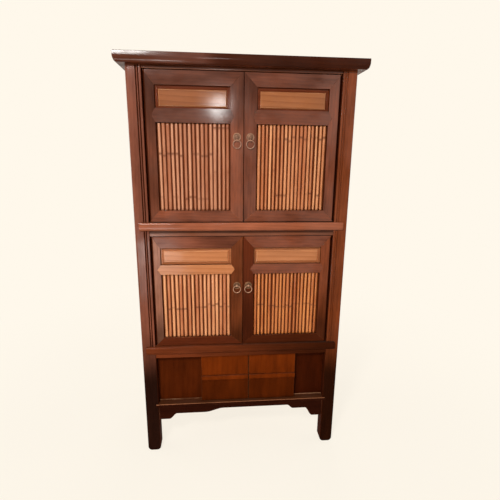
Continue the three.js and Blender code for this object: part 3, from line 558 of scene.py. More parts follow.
@dataclass(frozen=True)
class BambooFinish:
    """Split bamboo under an oiled varnish, with a tone for each slat.

    Attributes:
        name: the finish's name.
        pale: colour of the lightest slats.
        deep: colour of the darkest slats.
        joint: colour at the joints of the culm.
        rim: colour at the edges of each slat, painted shade on their rounded flanks.
        roughness: of the bamboo, at its middle.
        dust: how much dust lies on it.
        relief: depth of its fibres in metres.
    """

    name: str
    pale: Rgb
    deep: Rgb
    joint: Rgb
    rim: Rgb
    roughness: float = 0.4
    dust: float = 0.1
    relief: float = 0.0001

    def material(self, effects: SharedEffects) -> bpy.types.Material:
        """Makes the material, which reads the slats' attributes.

        Args:
            effects: the shared node groups.

        Returns:
            The new material.
        """
        made = bpy.data.materials.new(self.name)
        net = Surface(made)
        tone = net.attribute(SLAT_ATTRIBUTE)
        across, deep, up = net.separate(net.place)

        def pattern(fine: float, along: float, shift: float, detail: float, roughness: float) -> Signal:
            """Noise that is stretched along the slats and shifted for each of them."""
            place = net.combine(across * fine, deep * fine, up * along + tone * shift)
            return net.noise(place, 1.0, detail, roughness)

        fibres = pattern(1400.0, 14.0, 37.0, 2.0, 0.5)
        mottle = pattern(60.0, 11.0, 19.0, 3.0, 0.55)
        share = (tone + (mottle * 1.4 - 0.7) + (fibres * 0.5 - 0.25)).clamped()
        # Painted shade on each slat's flanks, which turn from the light
        rim = net.stretch(net.attribute(RIM_ATTRIBUTE), (0.35, 0.95), (0.0, 1.0))
        colour = net.mix(rim, net.mix(share, linear(self.deep), linear(self.pale)), linear(self.rim))
        colour = net.mix(net.attribute(JOINT_ATTRIBUTE) * 0.85, colour, linear(self.joint))
        net.principled(
            Base_Color=net.dusted(effects, self.dust, colour)[1],
            Roughness=mottle * 0.2 + (self.roughness - 0.1), Normal=net.bump(fibres, self.relief),
            Specular_IOR_Level=0.1, Coat_Weight=0.5, Coat_Roughness=0.2,
        )
        return made


@dataclass(frozen=True)
class BrassFinish:
    """Old brass with a brown skin in its hollows and a rubbed shine where hands reach it.

    Attributes:
        name: the finish's name.
        bare: colour of the rubbed metal.
        skin: colour of the skin.
        roughness: of the metal, at its middle.
        wear: how much of the rims is rubbed.
        relief: depth of its pitting in metres.
    """

    name: str
    bare: Rgb
    skin: Rgb
    roughness: float = 0.36
    wear: float = 0.9
    relief: float = 0.00008

    def material(self, effects: SharedEffects) -> bpy.types.Material:
        """Makes the material.

        Args:
            effects: the shared node groups.

        Returns:
            The new material.
        """
        made = bpy.data.materials.new(self.name)
        net = Surface(made)
        blotches = net.noise(net.place, 160.0, 4.0, 0.65)
        specks = net.noise(net.place, 900.0, 2.0, 0.5)
        rub = net.group(effects.rub, Vector=net.place, Amount=self.wear)["Mask"]
        skin = (net.stretch(blotches, (0.34, 0.62), (0.95, 0.5)) - rub).clamped()
        rough = specks * 0.1 + (skin * 0.3 + (self.roughness - 0.08))
        net.principled(
            Base_Color=net.mix(skin, linear(self.bare), linear(self.skin)), Metallic=skin * -0.35 + 1.0,
            Roughness=rough.clamped(), Normal=net.bump(blotches, self.relief, 0.6),
        )
        return made


# The polish is worn thin towards the floor
POLISH_SPAN = (0.5, 1.2)
POLISH_LEFT = 0.3

# Heights of the lower edge of the mid rail's proud part, along which shade is painted, of the top of
# the strip below it, under which a shadow is painted, and of the foot of the lower drawers' lip, below which
# their faces are painted darker as the lip's shade
RAIL_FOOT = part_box("mid_rail")[0].z + 0.032
STRIP_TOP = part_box("mid_rail")[0].z + 0.024
LIP_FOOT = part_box("drawer_lower_left")[1].z - 0.026

# Darker below 0.66 m towards the floor: partly the legs' dark finish, partly painted shade where the light
# falls off
ELM = WoodFinish(
    "red_brown_elm", Slot.ELM, (122, 56, 24), (84, 35, 12), (168, 108, 74), figure=0.55, polish=0.85,
    clouds=2.1, low_shade=0.10, low_span=(0.40, 0.66),
)
SIDE_ELM = ELM.variant("side_elm", polish=0.18, clouds=1.4)
# Lit copies for the front posts: the left painted paler and greyer as a painted sheen, the right painted
# lighter where the light is weaker
LEFT_POST_ELM = ELM.variant("left_post_elm", (126, 70, 50), (98, 50, 34), polish=0.4, clouds=1.6)
RIGHT_POST_ELM = ELM.variant("right_post_elm", (134, 64, 28), (93, 40, 15), polish=0.3, clouds=1.6)
# Paler copy for the lower left hinge stile: a painted sheen, with painted shade below 0.8 m
PALE_ELM = ELM.variant(
    "pale_elm", (156, 104, 82), (122, 74, 54), polish=0.15, low_shade=0.35, low_span=(0.66, 0.80),
)
# Darker above 1.55 m, up to the cornice: painted shade
TOP_SHADED_ELM = ELM.variant("smoky_elm", (128, 63, 34), (90, 41, 21), low_shade=0.45, low_span=(1.84, 1.55))
# Lighter copy for the lower right hinge stile, with painted shade below 0.95 m
TAWNY_ELM = ELM.variant(
    "tawny_elm", (136, 66, 33), (95, 42, 18), polish=0.35, low_shade=0.3, low_span=(0.66, 0.95),
)
# Painted shadow just under the mid rail's proud part, at the top of the strip
STRIP_ELM = ELM.variant(
    "strip_elm", (122, 64, 34), (88, 40, 18), clouds=1.2, low_shade=0.3,
    low_span=(STRIP_TOP + 0.001, STRIP_TOP - 0.006),
)
MELLOW_ELM = ELM.variant("mellow_elm", (110, 50, 22), (76, 31, 11), polish=0.8)
# Darker above 1.62 m: painted shade
TOP_SHADED_MELLOW_ELM = MELLOW_ELM.variant("dusky_mellow_elm", low_shade=0.5, low_span=(1.84, 1.62))
# Darker below 0.78 m: painted shade
LOW_SHADED_ELM = WoodFinish(
    "uneven_elm", Slot.ELM, (112, 53, 22), (76, 33, 10), (160, 100, 66), polish=0.25, clouds=1.7,
    low_shade=0.45, low_span=(0.64, 0.78),
)
BROWN_ELM = WoodFinish(
    "brown_elm", Slot.ELM, (98, 46, 23), (66, 28, 12), (156, 98, 66), polish=0.45, clouds=1.7,
)
GLEAMING_ELM = BROWN_ELM.variant("gleaming_elm", (94, 42, 19), (62, 25, 9), polish=0.75)
# Paler copy for the lower left top rail: painted light at its left end, painted shade towards the right
LEFT_LIT_ELM = BROWN_ELM.variant(
    "faded_elm", (124, 68, 46), (90, 43, 27), polish=0.3, right_shade=0.62, right_span=(-0.27, -0.10),
)
# Darker above 1.5 m: painted shade
TOP_SHADED_BROWN_ELM = BROWN_ELM.variant("dusky_elm", (104, 52, 30), (72, 33, 17), low_shade=0.62, low_span=(1.74, 1.5))
# A darker copy for the low rails: painted shade where less light reaches
DIM_ELM = WoodFinish(
    "dim_elm", Slot.ELM, (98, 41, 17), (66, 24, 7), (160, 98, 62), figure=0.45, polish=0.2, wear=0.9,
)
# Painted light at the sill's left end and painted shade towards its right
SILL_ELM = DIM_ELM.variant(
    "sill_elm", (120, 56, 27), (82, 33, 12), right_shade=0.25, right_span=(-0.45, 0.5),
)
DARK_BORDER = DIM_ELM.variant("dark_border", (116, 52, 24), (80, 31, 11), wear=0.5)
HONEY_BORDER = DIM_ELM.variant("honey_border", (172, 104, 64), (138, 76, 42), wear=0.5)
SHADED_ELM = WoodFinish(
    "shaded_elm", Slot.ELM, (80, 33, 12), (54, 18, 4), (140, 80, 50), figure=0.45, specular=0.01, polish=0.08,
)
# Lighter copy of the shaded wood for the lower right meeting stile, with painted shade below 1 m
FALLING_ELM = SHADED_ELM.variant(
    "falling_elm", (97, 42, 19), (66, 24, 9), low_shade=0.5, low_span=(0.72, 1.0),
)
# Painted shade along the lower edge of the mid rail's proud part
RAIL_ELM = WoodFinish(
    "rail_elm", Slot.ELM, (160, 86, 53), (118, 58, 31), (206, 140, 100), wear=0.9, low_shade=0.45,
    low_span=(RAIL_FOOT - 0.005, RAIL_FOOT + 0.009),
)
DEEP_ELM = WoodFinish(
    "deep_elm", Slot.ELM, (76, 32, 13), (51, 19, 6), (140, 84, 54), specular=0.01, polish=0.08,
)
# Painted light at the cornice's left, painted shade towards its right
CORNICE_ELM = DEEP_ELM.variant(
    "cornice_elm", (94, 41, 18), (63, 24, 8), polish=0.55, right_shade=0.5, right_span=(-0.19, -0.10),
)
# Painted shade for gaps, grooves, openings and undersides
GAP_SHADE_ELM = WoodFinish(
    "grimy_elm", Slot.ELM, (66, 26, 10), (44, 15, 5), (110, 62, 36), rings=60.0, figure=0.3, roughness=0.6,
    specular=0.01, polish=0.0,
)
DARK_ELM = WoodFinish(
    "near_black_elm", Slot.DARK_ELM, (50, 18, 8), (34, 11, 4), (124, 80, 56), figure=0.4, roughness=0.5,
    polish=0.0, wear=0.9, dust=0.03,
)
# The ledge is painted lighter where it faces up, as lit from above, over a little dust; its rounded front
# carries a painted highlight
LEDGE_ELM = WoodFinish(
    "dusty_ledge_elm", Slot.DARK_ELM, (84, 39, 13), (60, 25, 6), (150, 106, 78), figure=0.4, roughness=0.55,
    polish=0.0, wear=1.0, dust=0.04,
)
ARRIS_HIGHLIGHT_ELM = LEDGE_ELM.variant("ledge_arris_elm", (150, 98, 68), (124, 76, 48), dust=0.0)
# The lower drawers' faces below the lip are painted darker: the lip's shade
DRAWER_ELM = WoodFinish(
    "chestnut_elm", Slot.DRAWER_ELM, (114, 46, 8), (78, 27, 3), (160, 84, 34), rings=40.0, figure=0.3,
    polish=0.02, wear=0.15, clouds=1.6, low_shade=0.55, low_span=(LIP_FOOT, LIP_FOOT + 0.008),
)
PANEL_ELM = WoodFinish(
    "deep_chestnut_elm", Slot.DRAWER_ELM, (86, 33, 7), (56, 18, 2), (130, 70, 34), rings=40.0, figure=0.3,
    polish=0.01, clouds=1.6,
)
# The right fixed panel's darker copy: painted shade
SHADED_PANEL_ELM = PANEL_ELM.variant("darkest_chestnut_elm", (66, 22, 5), (42, 12, 1), rubbed=(110, 56, 26))
HONEY = WoodFinish(
    "honey_wood", Slot.HONEY_WOOD, (192, 124, 78), (152, 84, 44), (226, 168, 120), rings=45.0, figure=0.75,
    roughness=0.4, specular=0.02, polish=0.5, wear=0.7, clouds=0.6,
)
AGED_HONEY = HONEY.variant("aged_honey_wood", (166, 102, 60), (128, 68, 32), rubbed=(220, 160, 112))
# Darker copy for the upper left field: painted shade
SHADED_HONEY = AGED_HONEY.variant("smoky_honey_wood", (148, 86, 44), (112, 56, 22))
INNER = WoodFinish(
    "plain_inner_wood", Slot.INNER_WOOD, (172, 128, 86), (130, 88, 52), (190, 150, 110), rings=50.0,
    figure=0.8, roughness=0.6, specular=0.2, polish=0.0, wear=0.3, clouds=0.4, dust=0.12, relief=0.0002,
)
# Dark behind the slats so that the gaps between them read as shade: painted shade
BACKING = WoodFinish(
    "dark_backing_board", Slot.BAMBOO, (96, 44, 18), (70, 28, 10), (96, 46, 20), rings=60.0, roughness=0.55,
    specular=0.05, polish=0.0, wear=0.2, dust=0.0, clouds=0.5,
)
BAMBOO = BambooFinish("varnished_bamboo", (224, 154, 104), (180, 104, 60), (100, 46, 20), (112, 50, 18))
ROSY_BAMBOO = replace(BAMBOO, name="rosy_bamboo", pale=(198, 138, 104), deep=(158, 93, 60))
AMBER_BAMBOO = replace(
    BAMBOO, name="amber_bamboo", pale=(214, 132, 68), deep=(166, 83, 32), rim=(106, 42, 10),
)
BRASS = BrassFinish("old_brass", (142, 106, 84), (90, 62, 48), 0.46)
BROWNED_BRASS = BrassFinish("browned_brass", (124, 88, 62), (70, 46, 31), 0.46)
RING_BRASS = BrassFinish("handled_brass", (214, 166, 136), (128, 90, 68))
DULL_RING_BRASS = BrassFinish("dull_brass", (186, 144, 120), (112, 78, 62))
EYE_BRASS = BrassFinish("polished_brass", (244, 208, 178), (190, 146, 114), 0.26)


class Palette:
    """Hands out each finish's material, made once for each way of the grain."""

    def __init__(self) -> None:
        """Builds the shared effects."""
        self.effects = SharedEffects()
        self._made: dict[tuple, bpy.types.Material] = {}

    def wood(self, finish: WoodFinish, run: Run) -> bpy.types.Material:
        """The material of a wood with its grain one way."""
        return self._kept(finish, run)

    def plain(self, finish: BambooFinish | BrassFinish) -> bpy.types.Material:
        """The material of bamboo or brass."""
        return self._kept(finish)

    def _kept(self, finish: WoodFinish | BambooFinish | BrassFinish, *ways: Run) -> bpy.types.Material:
        """The material that was made before, or a new one."""
        key = (finish.name, *ways)
        if key not in self._made:
            self._made[key] = finish.material(self.effects, *ways)
        return self._made[key]


# Making and handing over pieces


def link(name: str, mesh: bpy.types.Mesh) -> bpy.types.Object:
    """Puts a mesh in the scene as an object at the origin."""
    made = bpy.data.objects.new(name, mesh)
    bpy.context.scene.collection.objects.link(made)
    return made


def settle(thing: bpy.types.Object) -> bpy.types.Object:
    """Turns an object with modifiers into one with a plain mesh of the same name.

    Args:
        thing: the object.

    Returns:
        The plain object, in its place.
    """
    bpy.context.view_layer.update()
    graph = bpy.context.evaluated_depsgraph_get()
    mesh = bpy.data.meshes.new_from_object(
        thing.evaluated_get(graph), preserve_all_data_layers=True, depsgraph=graph,
    )
    name = thing.name
    bpy.data.objects.remove(thing)
    mesh.name = name
    return link(name, mesh)


def even_normals(thing: bpy.types.Object) -> bpy.types.Object:
    """Shades a mesh object with no modifiers smoothly, with its broad faces flat."""
    mesh = thing.data
    mesh.polygons.foreach_set("use_smooth", [True] * len(mesh.polygons))
    mesh.set_sharp_from_angle(angle=SMOOTH_ANGLE)
    weighted = thing.modifiers.new("broad faces", "WEIGHTED_NORMAL")
    weighted.keep_sharp = True
    return settle(thing)


def finished(work: bmesh.types.BMesh, name: str) -> bpy.types.Object:
    """Makes a solid, which is freed, a smoothly shaded object."""
    mesh = bpy.data.meshes.new(name)
    work.to_mesh(mesh)
    work.free()
    return even_normals(link(name, mesh))


def outward(thing: bpy.types.Object) -> bpy.types.Object:
    """Merges an object's doubles and points its faces outwards."""
    work = bmesh.new()
    work.from_mesh(thing.data)
    bmesh.ops.remove_doubles(work, verts=work.verts, dist=MERGE_DISTANCE / 2)
    bmesh.ops.recalc_face_normals(work, faces=work.faces)
    work.to_mesh(thing.data)
    work.free()
    return thing


def merged(name: str, parts: Sequence[bpy.types.Object]) -> bpy.types.Object:
    """Joins plain mesh objects into one, with their attributes and shading.

    Args:
        name: the joined object's name.
        parts: the objects, which are used up.

    Returns:
        The joined object.
    """
    first, chosen = parts[0], list(parts)
    with bpy.context.temp_override(
        active_object=first, object=first, selected_objects=chosen, selected_editable_objects=chosen,
    ):
        bpy.ops.object.join()
    first.name = first.data.name = name
    return first


def box_solid(low: Sequence[float], high: Sequence[float]) -> bmesh.types.BMesh:
    """A block between two corners, for a board that is then eased."""
    work = bmesh.new()
    bmesh.ops.create_cube(work, size=1.0)
    size = Vector(high) - Vector(low)
    middle = (Vector(high) + Vector(low)) / 2
    turn = Matrix.Translation(middle) @ Matrix.Diagonal((*size, 1.0))
    bmesh.ops.transform(work, matrix=turn, verts=work.verts)
    return work


def corners(points: Sequence[Vector]) -> tuple[Vector, Vector]:
    """The lowest and highest corner of the box round some points."""
    return tuple(Vector([pick(point[axis] for point in points) for axis in range(3)]) for pick in (min, max))


def arc(centre: Span, radii: Span, start: float, end: float, steps: int) -> list[Span]:
    """Points along an arc.

    Args:
        centre: its middle.
        radii: its radius across and up.
        start: the angle where it starts.
        end: the angle where it ends.
        steps: how many steps it takes.

    Returns:
        The points, one more than the steps.
    """
    turns = [start + (end - start) * step / steps for step in range(steps + 1)]
    return [(centre[0] + radii[0] * math.cos(turn), centre[1] + radii[1] * math.sin(turn)) for turn in turns]


def board_value(name: str) -> float:
    """A fixed number from 0 to 1 for a piece's name, so that each board has its own grain."""
    total, values = 0, 9973
    for letter in name:
        total = (total * 31 + ord(letter)) % values
    return total / values


def hand_over(
    piece: bpy.types.Object, body: str, nodes: Sequence[str] = (),
    faces: Callable[[Face], int] | None = None, materials: Sequence[bpy.types.Material] = (),
) -> None:
    """Dresses a finished piece and gives it to its body.

    Args:
        piece: the piece, with a plain mesh at the origin.
        body: the CAD body that it rides on.
        nodes: the CAD nodes that it stands for.
        faces: picks a material's place for each face, if there is more than one.
        materials: the piece's materials, if its mesh has none yet.
    """
    mesh = piece.data
    if materials:
        mesh.materials.clear()
        for material in materials:
            mesh.materials.append(material)
        for face in mesh.polygons:
            face.material_index = int(faces(face)) if faces else 0
    tone = mesh.attributes.get(BOARD_ATTRIBUTE) or mesh.attributes.new(BOARD_ATTRIBUTE, "FLOAT", "POINT")
    tone.data.foreach_set("value", [board_value(piece.name)] * len(mesh.vertices))
    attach(piece, body)
    if nodes:
        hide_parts(*nodes)
    LOG.info("%s: %d faces on %s", piece.name, len(mesh.polygons), body)


@dataclass
class Joinery:
    """Takes a part's solid and eases its arrises.

    Attributes:
        arris: usual width of an eased arris.
        flat_angle: faces within this angle are one face.
        foot_steps: steps of the arc that draws a foot in.
    """

    arris: float = 0.0011
    flat_angle: float = math.radians(0.6)
    foot_steps: int = 6

    @staticmethod
    def copied(node: str) -> bmesh.types.BMesh:
        """A copy of a CAD node's solid, to work on."""
        work = bmesh.new()
        work.from_mesh(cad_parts[node].data)
        return work

    @staticmethod
    def cut(
        work: bmesh.types.BMesh, place: Sequence[float], normal: Sequence[float], clear: bool = False,
    ) -> None:
        """Cuts a solid along a plane, and clears what is in front of it if told to."""
        bmesh.ops.bisect_plane(
            work, geom=[*work.verts, *work.edges, *work.faces], dist=MERGE_DISTANCE, plane_co=place,
            plane_no=normal, clear_outer=clear,
        )

    def eased(self, node: str, arris: float | None = None, foot: float = 0.0) -> bpy.types.Object:
        """A board from a CAD node, with its arrises eased, and its foot rounded if it has a radius."""
        return self.finish(self.copied(node), f"{node}_board", arris, foot)

    def finish(
        self, work: bmesh.types.BMesh, name: str, arris: float | None = None, foot: float = 0.0,
    ) -> bpy.types.Object:
        """Eases a solid and makes it an object.

        Args:
            work: the solid, which is freed.
            name: the new object's name.
            arris: width of the easing, if not the usual one.
            foot: radius round the edges that stand on the floor.

        Returns:
            The new object.
        """
        bmesh.ops.remove_doubles(work, verts=work.verts, dist=MERGE_DISTANCE)
        bmesh.ops.dissolve_limit(
            work, angle_limit=self.flat_angle, verts=work.verts, edges=work.edges, delimit={"NORMAL"},
        )
        worn = work.faces.layers.float.new(WORN_ATTRIBUTE)
        if foot > 0:
            self._round_foot(work, foot)
        sharp = [
            edge for edge in work.edges
            if len(edge.link_faces) == 2 and edge.is_convex and edge.calc_face_angle(0.0) > SMOOTH_ANGLE
        ]
        rounded = bmesh.ops.bevel(
            work, geom=sharp, offset=arris or self.arris, offset_type="OFFSET", segments=2, profile=0.5,
            affect="EDGES", clamp_overlap=True,
        )
        for face in rounded["faces"]:
            face[worn] = 1.0
        bmesh.ops.remove_doubles(work, verts=work.verts, dist=MERGE_DISTANCE / 2)
        for vert in work.verts:
            vert.co.z = max(vert.co.z, 0.0)
        return finished(work, name)

    def _round_foot(self, work: bmesh.types.BMesh, radius: float) -> None:
        """Draws the two sides of a post's foot in along an arc.

        Args:
            work: the post.
            radius: radius of the arc.
        """
        for step in range(1, self.foot_steps + 1):
            level = radius * (1 - math.cos(QUARTER * step / self.foot_steps))
            self.cut(work, (0, 0, level), (0, 0, 1))
        foot = [vert for vert in work.verts if vert.co.z < radius - MERGE_DISTANCE]
        low, high = corners([vert.co for vert in foot])
        middle, half = (low.x + high.x) / 2, (high.x - low.x) / 2
        for vert in foot:
            inset = radius - math.sqrt(max(radius ** 2 - (radius - vert.co.z) ** 2, 0.0))
            vert.co.x = middle + (vert.co.x - middle) * (1 - inset / half)


# Geometry Nodes trees


def grow(
    tree: bpy.types.NodeTree, name: str, points: Sequence[Sequence[float]], values: dict[str, Value],
) -> bpy.types.Object:
    """Runs a Geometry Nodes tree on loose points and keeps the result as a plain object.

    Args:
        tree: the tree.
        name: the object's name.
        points: the points that go in.
        values: the tree's inputs, by name.

    Returns:
        The plain object.
    """
    mesh = bpy.data.meshes.new(name)
    mesh.from_pydata([tuple(point) for point in points], [], [])
    made = link(name, mesh)
    modifier = made.modifiers.new(tree.name, "NODES")
    modifier.node_group = tree
    for item in tree.interface.items_tree:
        if item.item_type == "SOCKET" and item.in_out == "INPUT" and item.name in values:
            modifier[item.identifier] = values[item.name]
    return settle(made)


def mitred_moulding_tree() -> bpy.types.NodeTree:
    """A profile carried round a rectangle with mitred corners.

    The points that go in are the profile, as (outwards, 0, up). The rectangle lies flat.

    Returns:
        The geometry tree.
    """
    inputs = {"Profile": "Geometry", "Half Width": 0.5, "Half Depth": 0.3, "Finish": "Material"}
    net = Group("mitred_moulding", inputs)
    profile = net.given["Profile"]
    count = net.out("GeometryNodeAttributeDomainSize", {"component": "MESH"}, Geometry=profile)
    across = count + 1.0
    grid = net.out("GeometryNodeMeshGrid", Size_X=1.0, Size_Y=1.0, Vertices_X=5, Vertices_Y=across)
    index = net.out("GeometryNodeInputIndex")
    corner = net.math("FLOOR", (index + 0.5) / across)
    step = net.math("ROUND", net.math("MODULO", index - corner * across, count))
    outwards, _, up = net.separate(net.out(
        "GeometryNodeSampleIndex", {"data_type": "FLOAT_VECTOR", "domain": "POINT"}, Geometry=profile,
        Value=net.out("GeometryNodeInputPosition"), Index=step,
    ))
    angle = corner * QUARTER + math.pi / 4
    side_x, side_y = (net.math("SIGN", net.math(wave, angle)) for wave in ("COSINE", "SINE"))
    place = net.combine(
        side_x * (net.given["Half Width"] + outwards), side_y * (net.given["Half Depth"] + outwards), up,
    )
    moved = net.out("GeometryNodeSetPosition", Geometry=grid, Position=place)
    return net.dressed(net.out("GeometryNodeMergeByDistance", Geometry=moved, Distance=MERGE_DISTANCE))


def split_bamboo_tree() -> bpy.types.NodeTree:
    """Half-round slats side by side, each with its own width, lean, bow and culm joints.

    The slats stand on the plane that is given, from its height up, and bulge towards -Y.

    Returns:
        The geometry tree.
    """
    net = Group("split_bamboo", {
        "Foot": "Geometry", "Left": 0.0, "Plane": 0.0, "Bottom": 0.0, "Slats": 17, "Pitch": 0.019,
        "Gap": 0.004, "Length": 0.38, "Crown": 0.008, "Joint Spacing": 0.195, "First Slats": 6,
        "First Row": 0.05, "Other Row": 0.15, "Seed": 1, "Finish": "Material",
    })
    given = net.given

    def drawn(draw: Draw) -> Signal:
        """A random value for each slat, fixed by the seed."""
        salt, low, high = draw.value
        inputs = {"Min": low, "Max": high, "ID": slat, "Seed": given["Seed"] + float(salt)}
        return net.out("FunctionNodeRandomValue", {"data_type": "FLOAT"}, **inputs)

    def stored(geometry: Signal, name: str, kind: str, value: Signal) -> Signal:
        """Geometry with a named attribute on its points."""
        settings = {"data_type": kind, "domain": "POINT"}
        return net.out("GeometryNodeStoreNamedAttribute", settings, Geometry=geometry, Name=name, Value=value)

    def read(name: str, kind: str) -> Signal:
        """A named attribute's value."""
        return net.node("GeometryNodeInputNamedAttribute", {"data_type": kind}, Name=name)["Attribute"]

    line = net.out("GeometryNodeMeshLine", {"mode": "OFFSET"}, Count=given["Slats"])
    points = stored(line, "slat", "INT", net.out("GeometryNodeInputIndex"))
    rod = net.out(
        "GeometryNodeMeshCylinder", {"fill_type": "NGON"}, Vertices=16, Side_Segments=44, Radius=1.0,
        Depth=1.0,
    )
    blank = stored(rod, "unit", "FLOAT_VECTOR", net.out("GeometryNodeInputPosition"))
    smooth = net.out("GeometryNodeSetShadeSmooth", Geometry=blank)
    placed = net.out("GeometryNodeInstanceOnPoints", Points=points, Instance=smooth)
    slats = net.out("GeometryNodeRealizeInstances", Geometry=placed)

    slat = read("slat", "INT")
    across, forward, height = net.separate(read("unit", "FLOAT_VECTOR"))
    share = height + 0.5
    up = share * given["Length"]
    early = net.math("LESS_THAN", slat, given["First Slats"])
    row = early * (given["First Row"] - given["Other Row"]) + given["Other Row"]
    cycle = (up - row) / given["Joint Spacing"] + drawn(Draw.JOINT)
    distance = net.math("ABSOLUTE", net.math("FRACT", cycle) - 0.5) * given["Joint Spacing"]
    ridge = net.stretch(distance, (0.0, 0.0065), (1.0, 0.0))
    joint = net.stretch(distance, (0.001, 0.0042), (1.0, 0.0))
    swell = ridge * 0.07 + 1.0
    wave = net.math("SINE", share * 7.0 + drawn(Draw.WAVE))
    reach = (given["Pitch"] - given["Gap"]) * 0.5 * (swell * (wave * 0.035 + 1.0)) * drawn(Draw.WIDTH)
    middle = (slat + drawn(Draw.PLACE)) * given["Pitch"]
    lean = (share - 0.5) * drawn(Draw.LEAN)
    bow = net.math("SINE", share * math.pi) * drawn(Draw.BOW)
    crown = given["Crown"] * drawn(Draw.CROWN) * swell
    front, back = net.math("MINIMUM", forward, 0.0), net.math("MAXIMUM", forward, 0.0)
    place = net.combine(
        across * reach + (given["Left"] + middle + (lean + bow)),
        back * SLAT_BACK + (front * crown + given["Plane"]),
        given["Bottom"] + up,
    )
    slats = net.out("GeometryNodeSetPosition", Geometry=slats, Position=place)
    slats = stored(slats, SLAT_ATTRIBUTE, "FLOAT", drawn(Draw.TONE))
    slats = stored(slats, RIM_ATTRIBUTE, "FLOAT", net.math("ABSOLUTE", across))
    slats = stored(slats, JOINT_ATTRIBUTE, "FLOAT", joint)
    for spent in ("unit", "slat"):
        slats = net.out("GeometryNodeRemoveAttribute", Geometry=slats, Name=spent)
    return net.dressed(slats)


def wire_ring_tree() -> bpy.types.NodeTree:
    """A wire bent into a ring that lies flat, thicker on one side.

    Returns:
        The geometry tree.
    """
    net = Group("wire_ring", {
        "Start": "Geometry", "Ring Radius": 0.0175, "Wire Radius": 0.0023, "Taper": 0.15, "Steps": 72,
        "Sides": 18, "Finish": "Material",
    })
    given = net.given

    def circle(steps: Signal, radius: Value) -> Signal:
        """A circle that lies flat."""
        settings = {"mode": "RADIUS"}
        return net.out("GeometryNodeCurvePrimitiveCircle", settings, Resolution=steps, Radius=radius)

    path = circle(given["Steps"], given["Ring Radius"])
    share = net.separate(net.out("GeometryNodeInputPosition"))[1] / given["Ring Radius"]
    thick = (share * 0.5 + 0.5) * (given["Taper"] * -1.0) + 1.0
    shaped = net.out("GeometryNodeSetCurveRadius", Curve=path, Radius=thick * given["Wire Radius"])
    swept = net.out(
        "GeometryNodeCurveToMesh", Curve=shaped, Profile_Curve=circle(given["Sides"], 1.0),
        Scale=net.out("GeometryNodeInputRadius"),
    )
    return net.dressed(net.out("GeometryNodeSetShadeSmooth", Geometry=swept))


def pin_heads_tree() -> bpy.types.NodeTree:
    """A small domed pin head, facing +Y, on each point that goes in.

    Returns:
        The geometry tree.
    """
    inputs = {"Places": "Geometry", "Head Radius": 0.003, "Head Height": 0.0008, "Finish": "Material"}
    net = Group("pin_heads", inputs)
    radius = net.given["Head Radius"]
    ball = net.out("GeometryNodeMeshUVSphere", Segments=12, Rings=8, Radius=1.0)
    size = net.combine(radius, net.given["Head Height"], radius)
    squashed = net.out("GeometryNodeTransform", Geometry=ball, Scale=size)
    smooth = net.out("GeometryNodeSetShadeSmooth", Geometry=squashed)
    return net.dressed(net.out("GeometryNodeInstanceOnPoints", Points=net.given["Places"], Instance=smooth))


class Workshop:
    """The palette, the joinery and the trees that every sub-assembly uses."""

    def __init__(self) -> None:
        """Builds the tools once."""
        self.palette = Palette()
        self.joinery = Joinery()
        self.moulding = mitred_moulding_tree()
        self.bamboo = split_bamboo_tree()
        self.ring = wire_ring_tree()
        self.pins = pin_heads_tree()

    def board(
        self, node: str, body: str, run: Run, *finishes: WoodFinish, arris: float | None = None,
        foot: float = 0.0, faces: Callable[[Face], int] | None = None,
    ) -> None:
        """Makes the board that stands for one CAD node.

        Args:
            node: the CAD node.
            body: its body.
            run: the way of its grain.
            *finishes: its wood, and the others that some of its faces have.
            arris: width of its eased arrises, if not the usual one.
            foot: radius round its foot.
            faces: picks a finish's place for each face.
        """
        piece = self.joinery.eased(node, arris, foot)
        woods = [self.palette.wood(finish, run) for finish in finishes]
        hand_over(piece, body, [node], faces, woods)


# Sub-assemblies

CARCASS = "carcass"


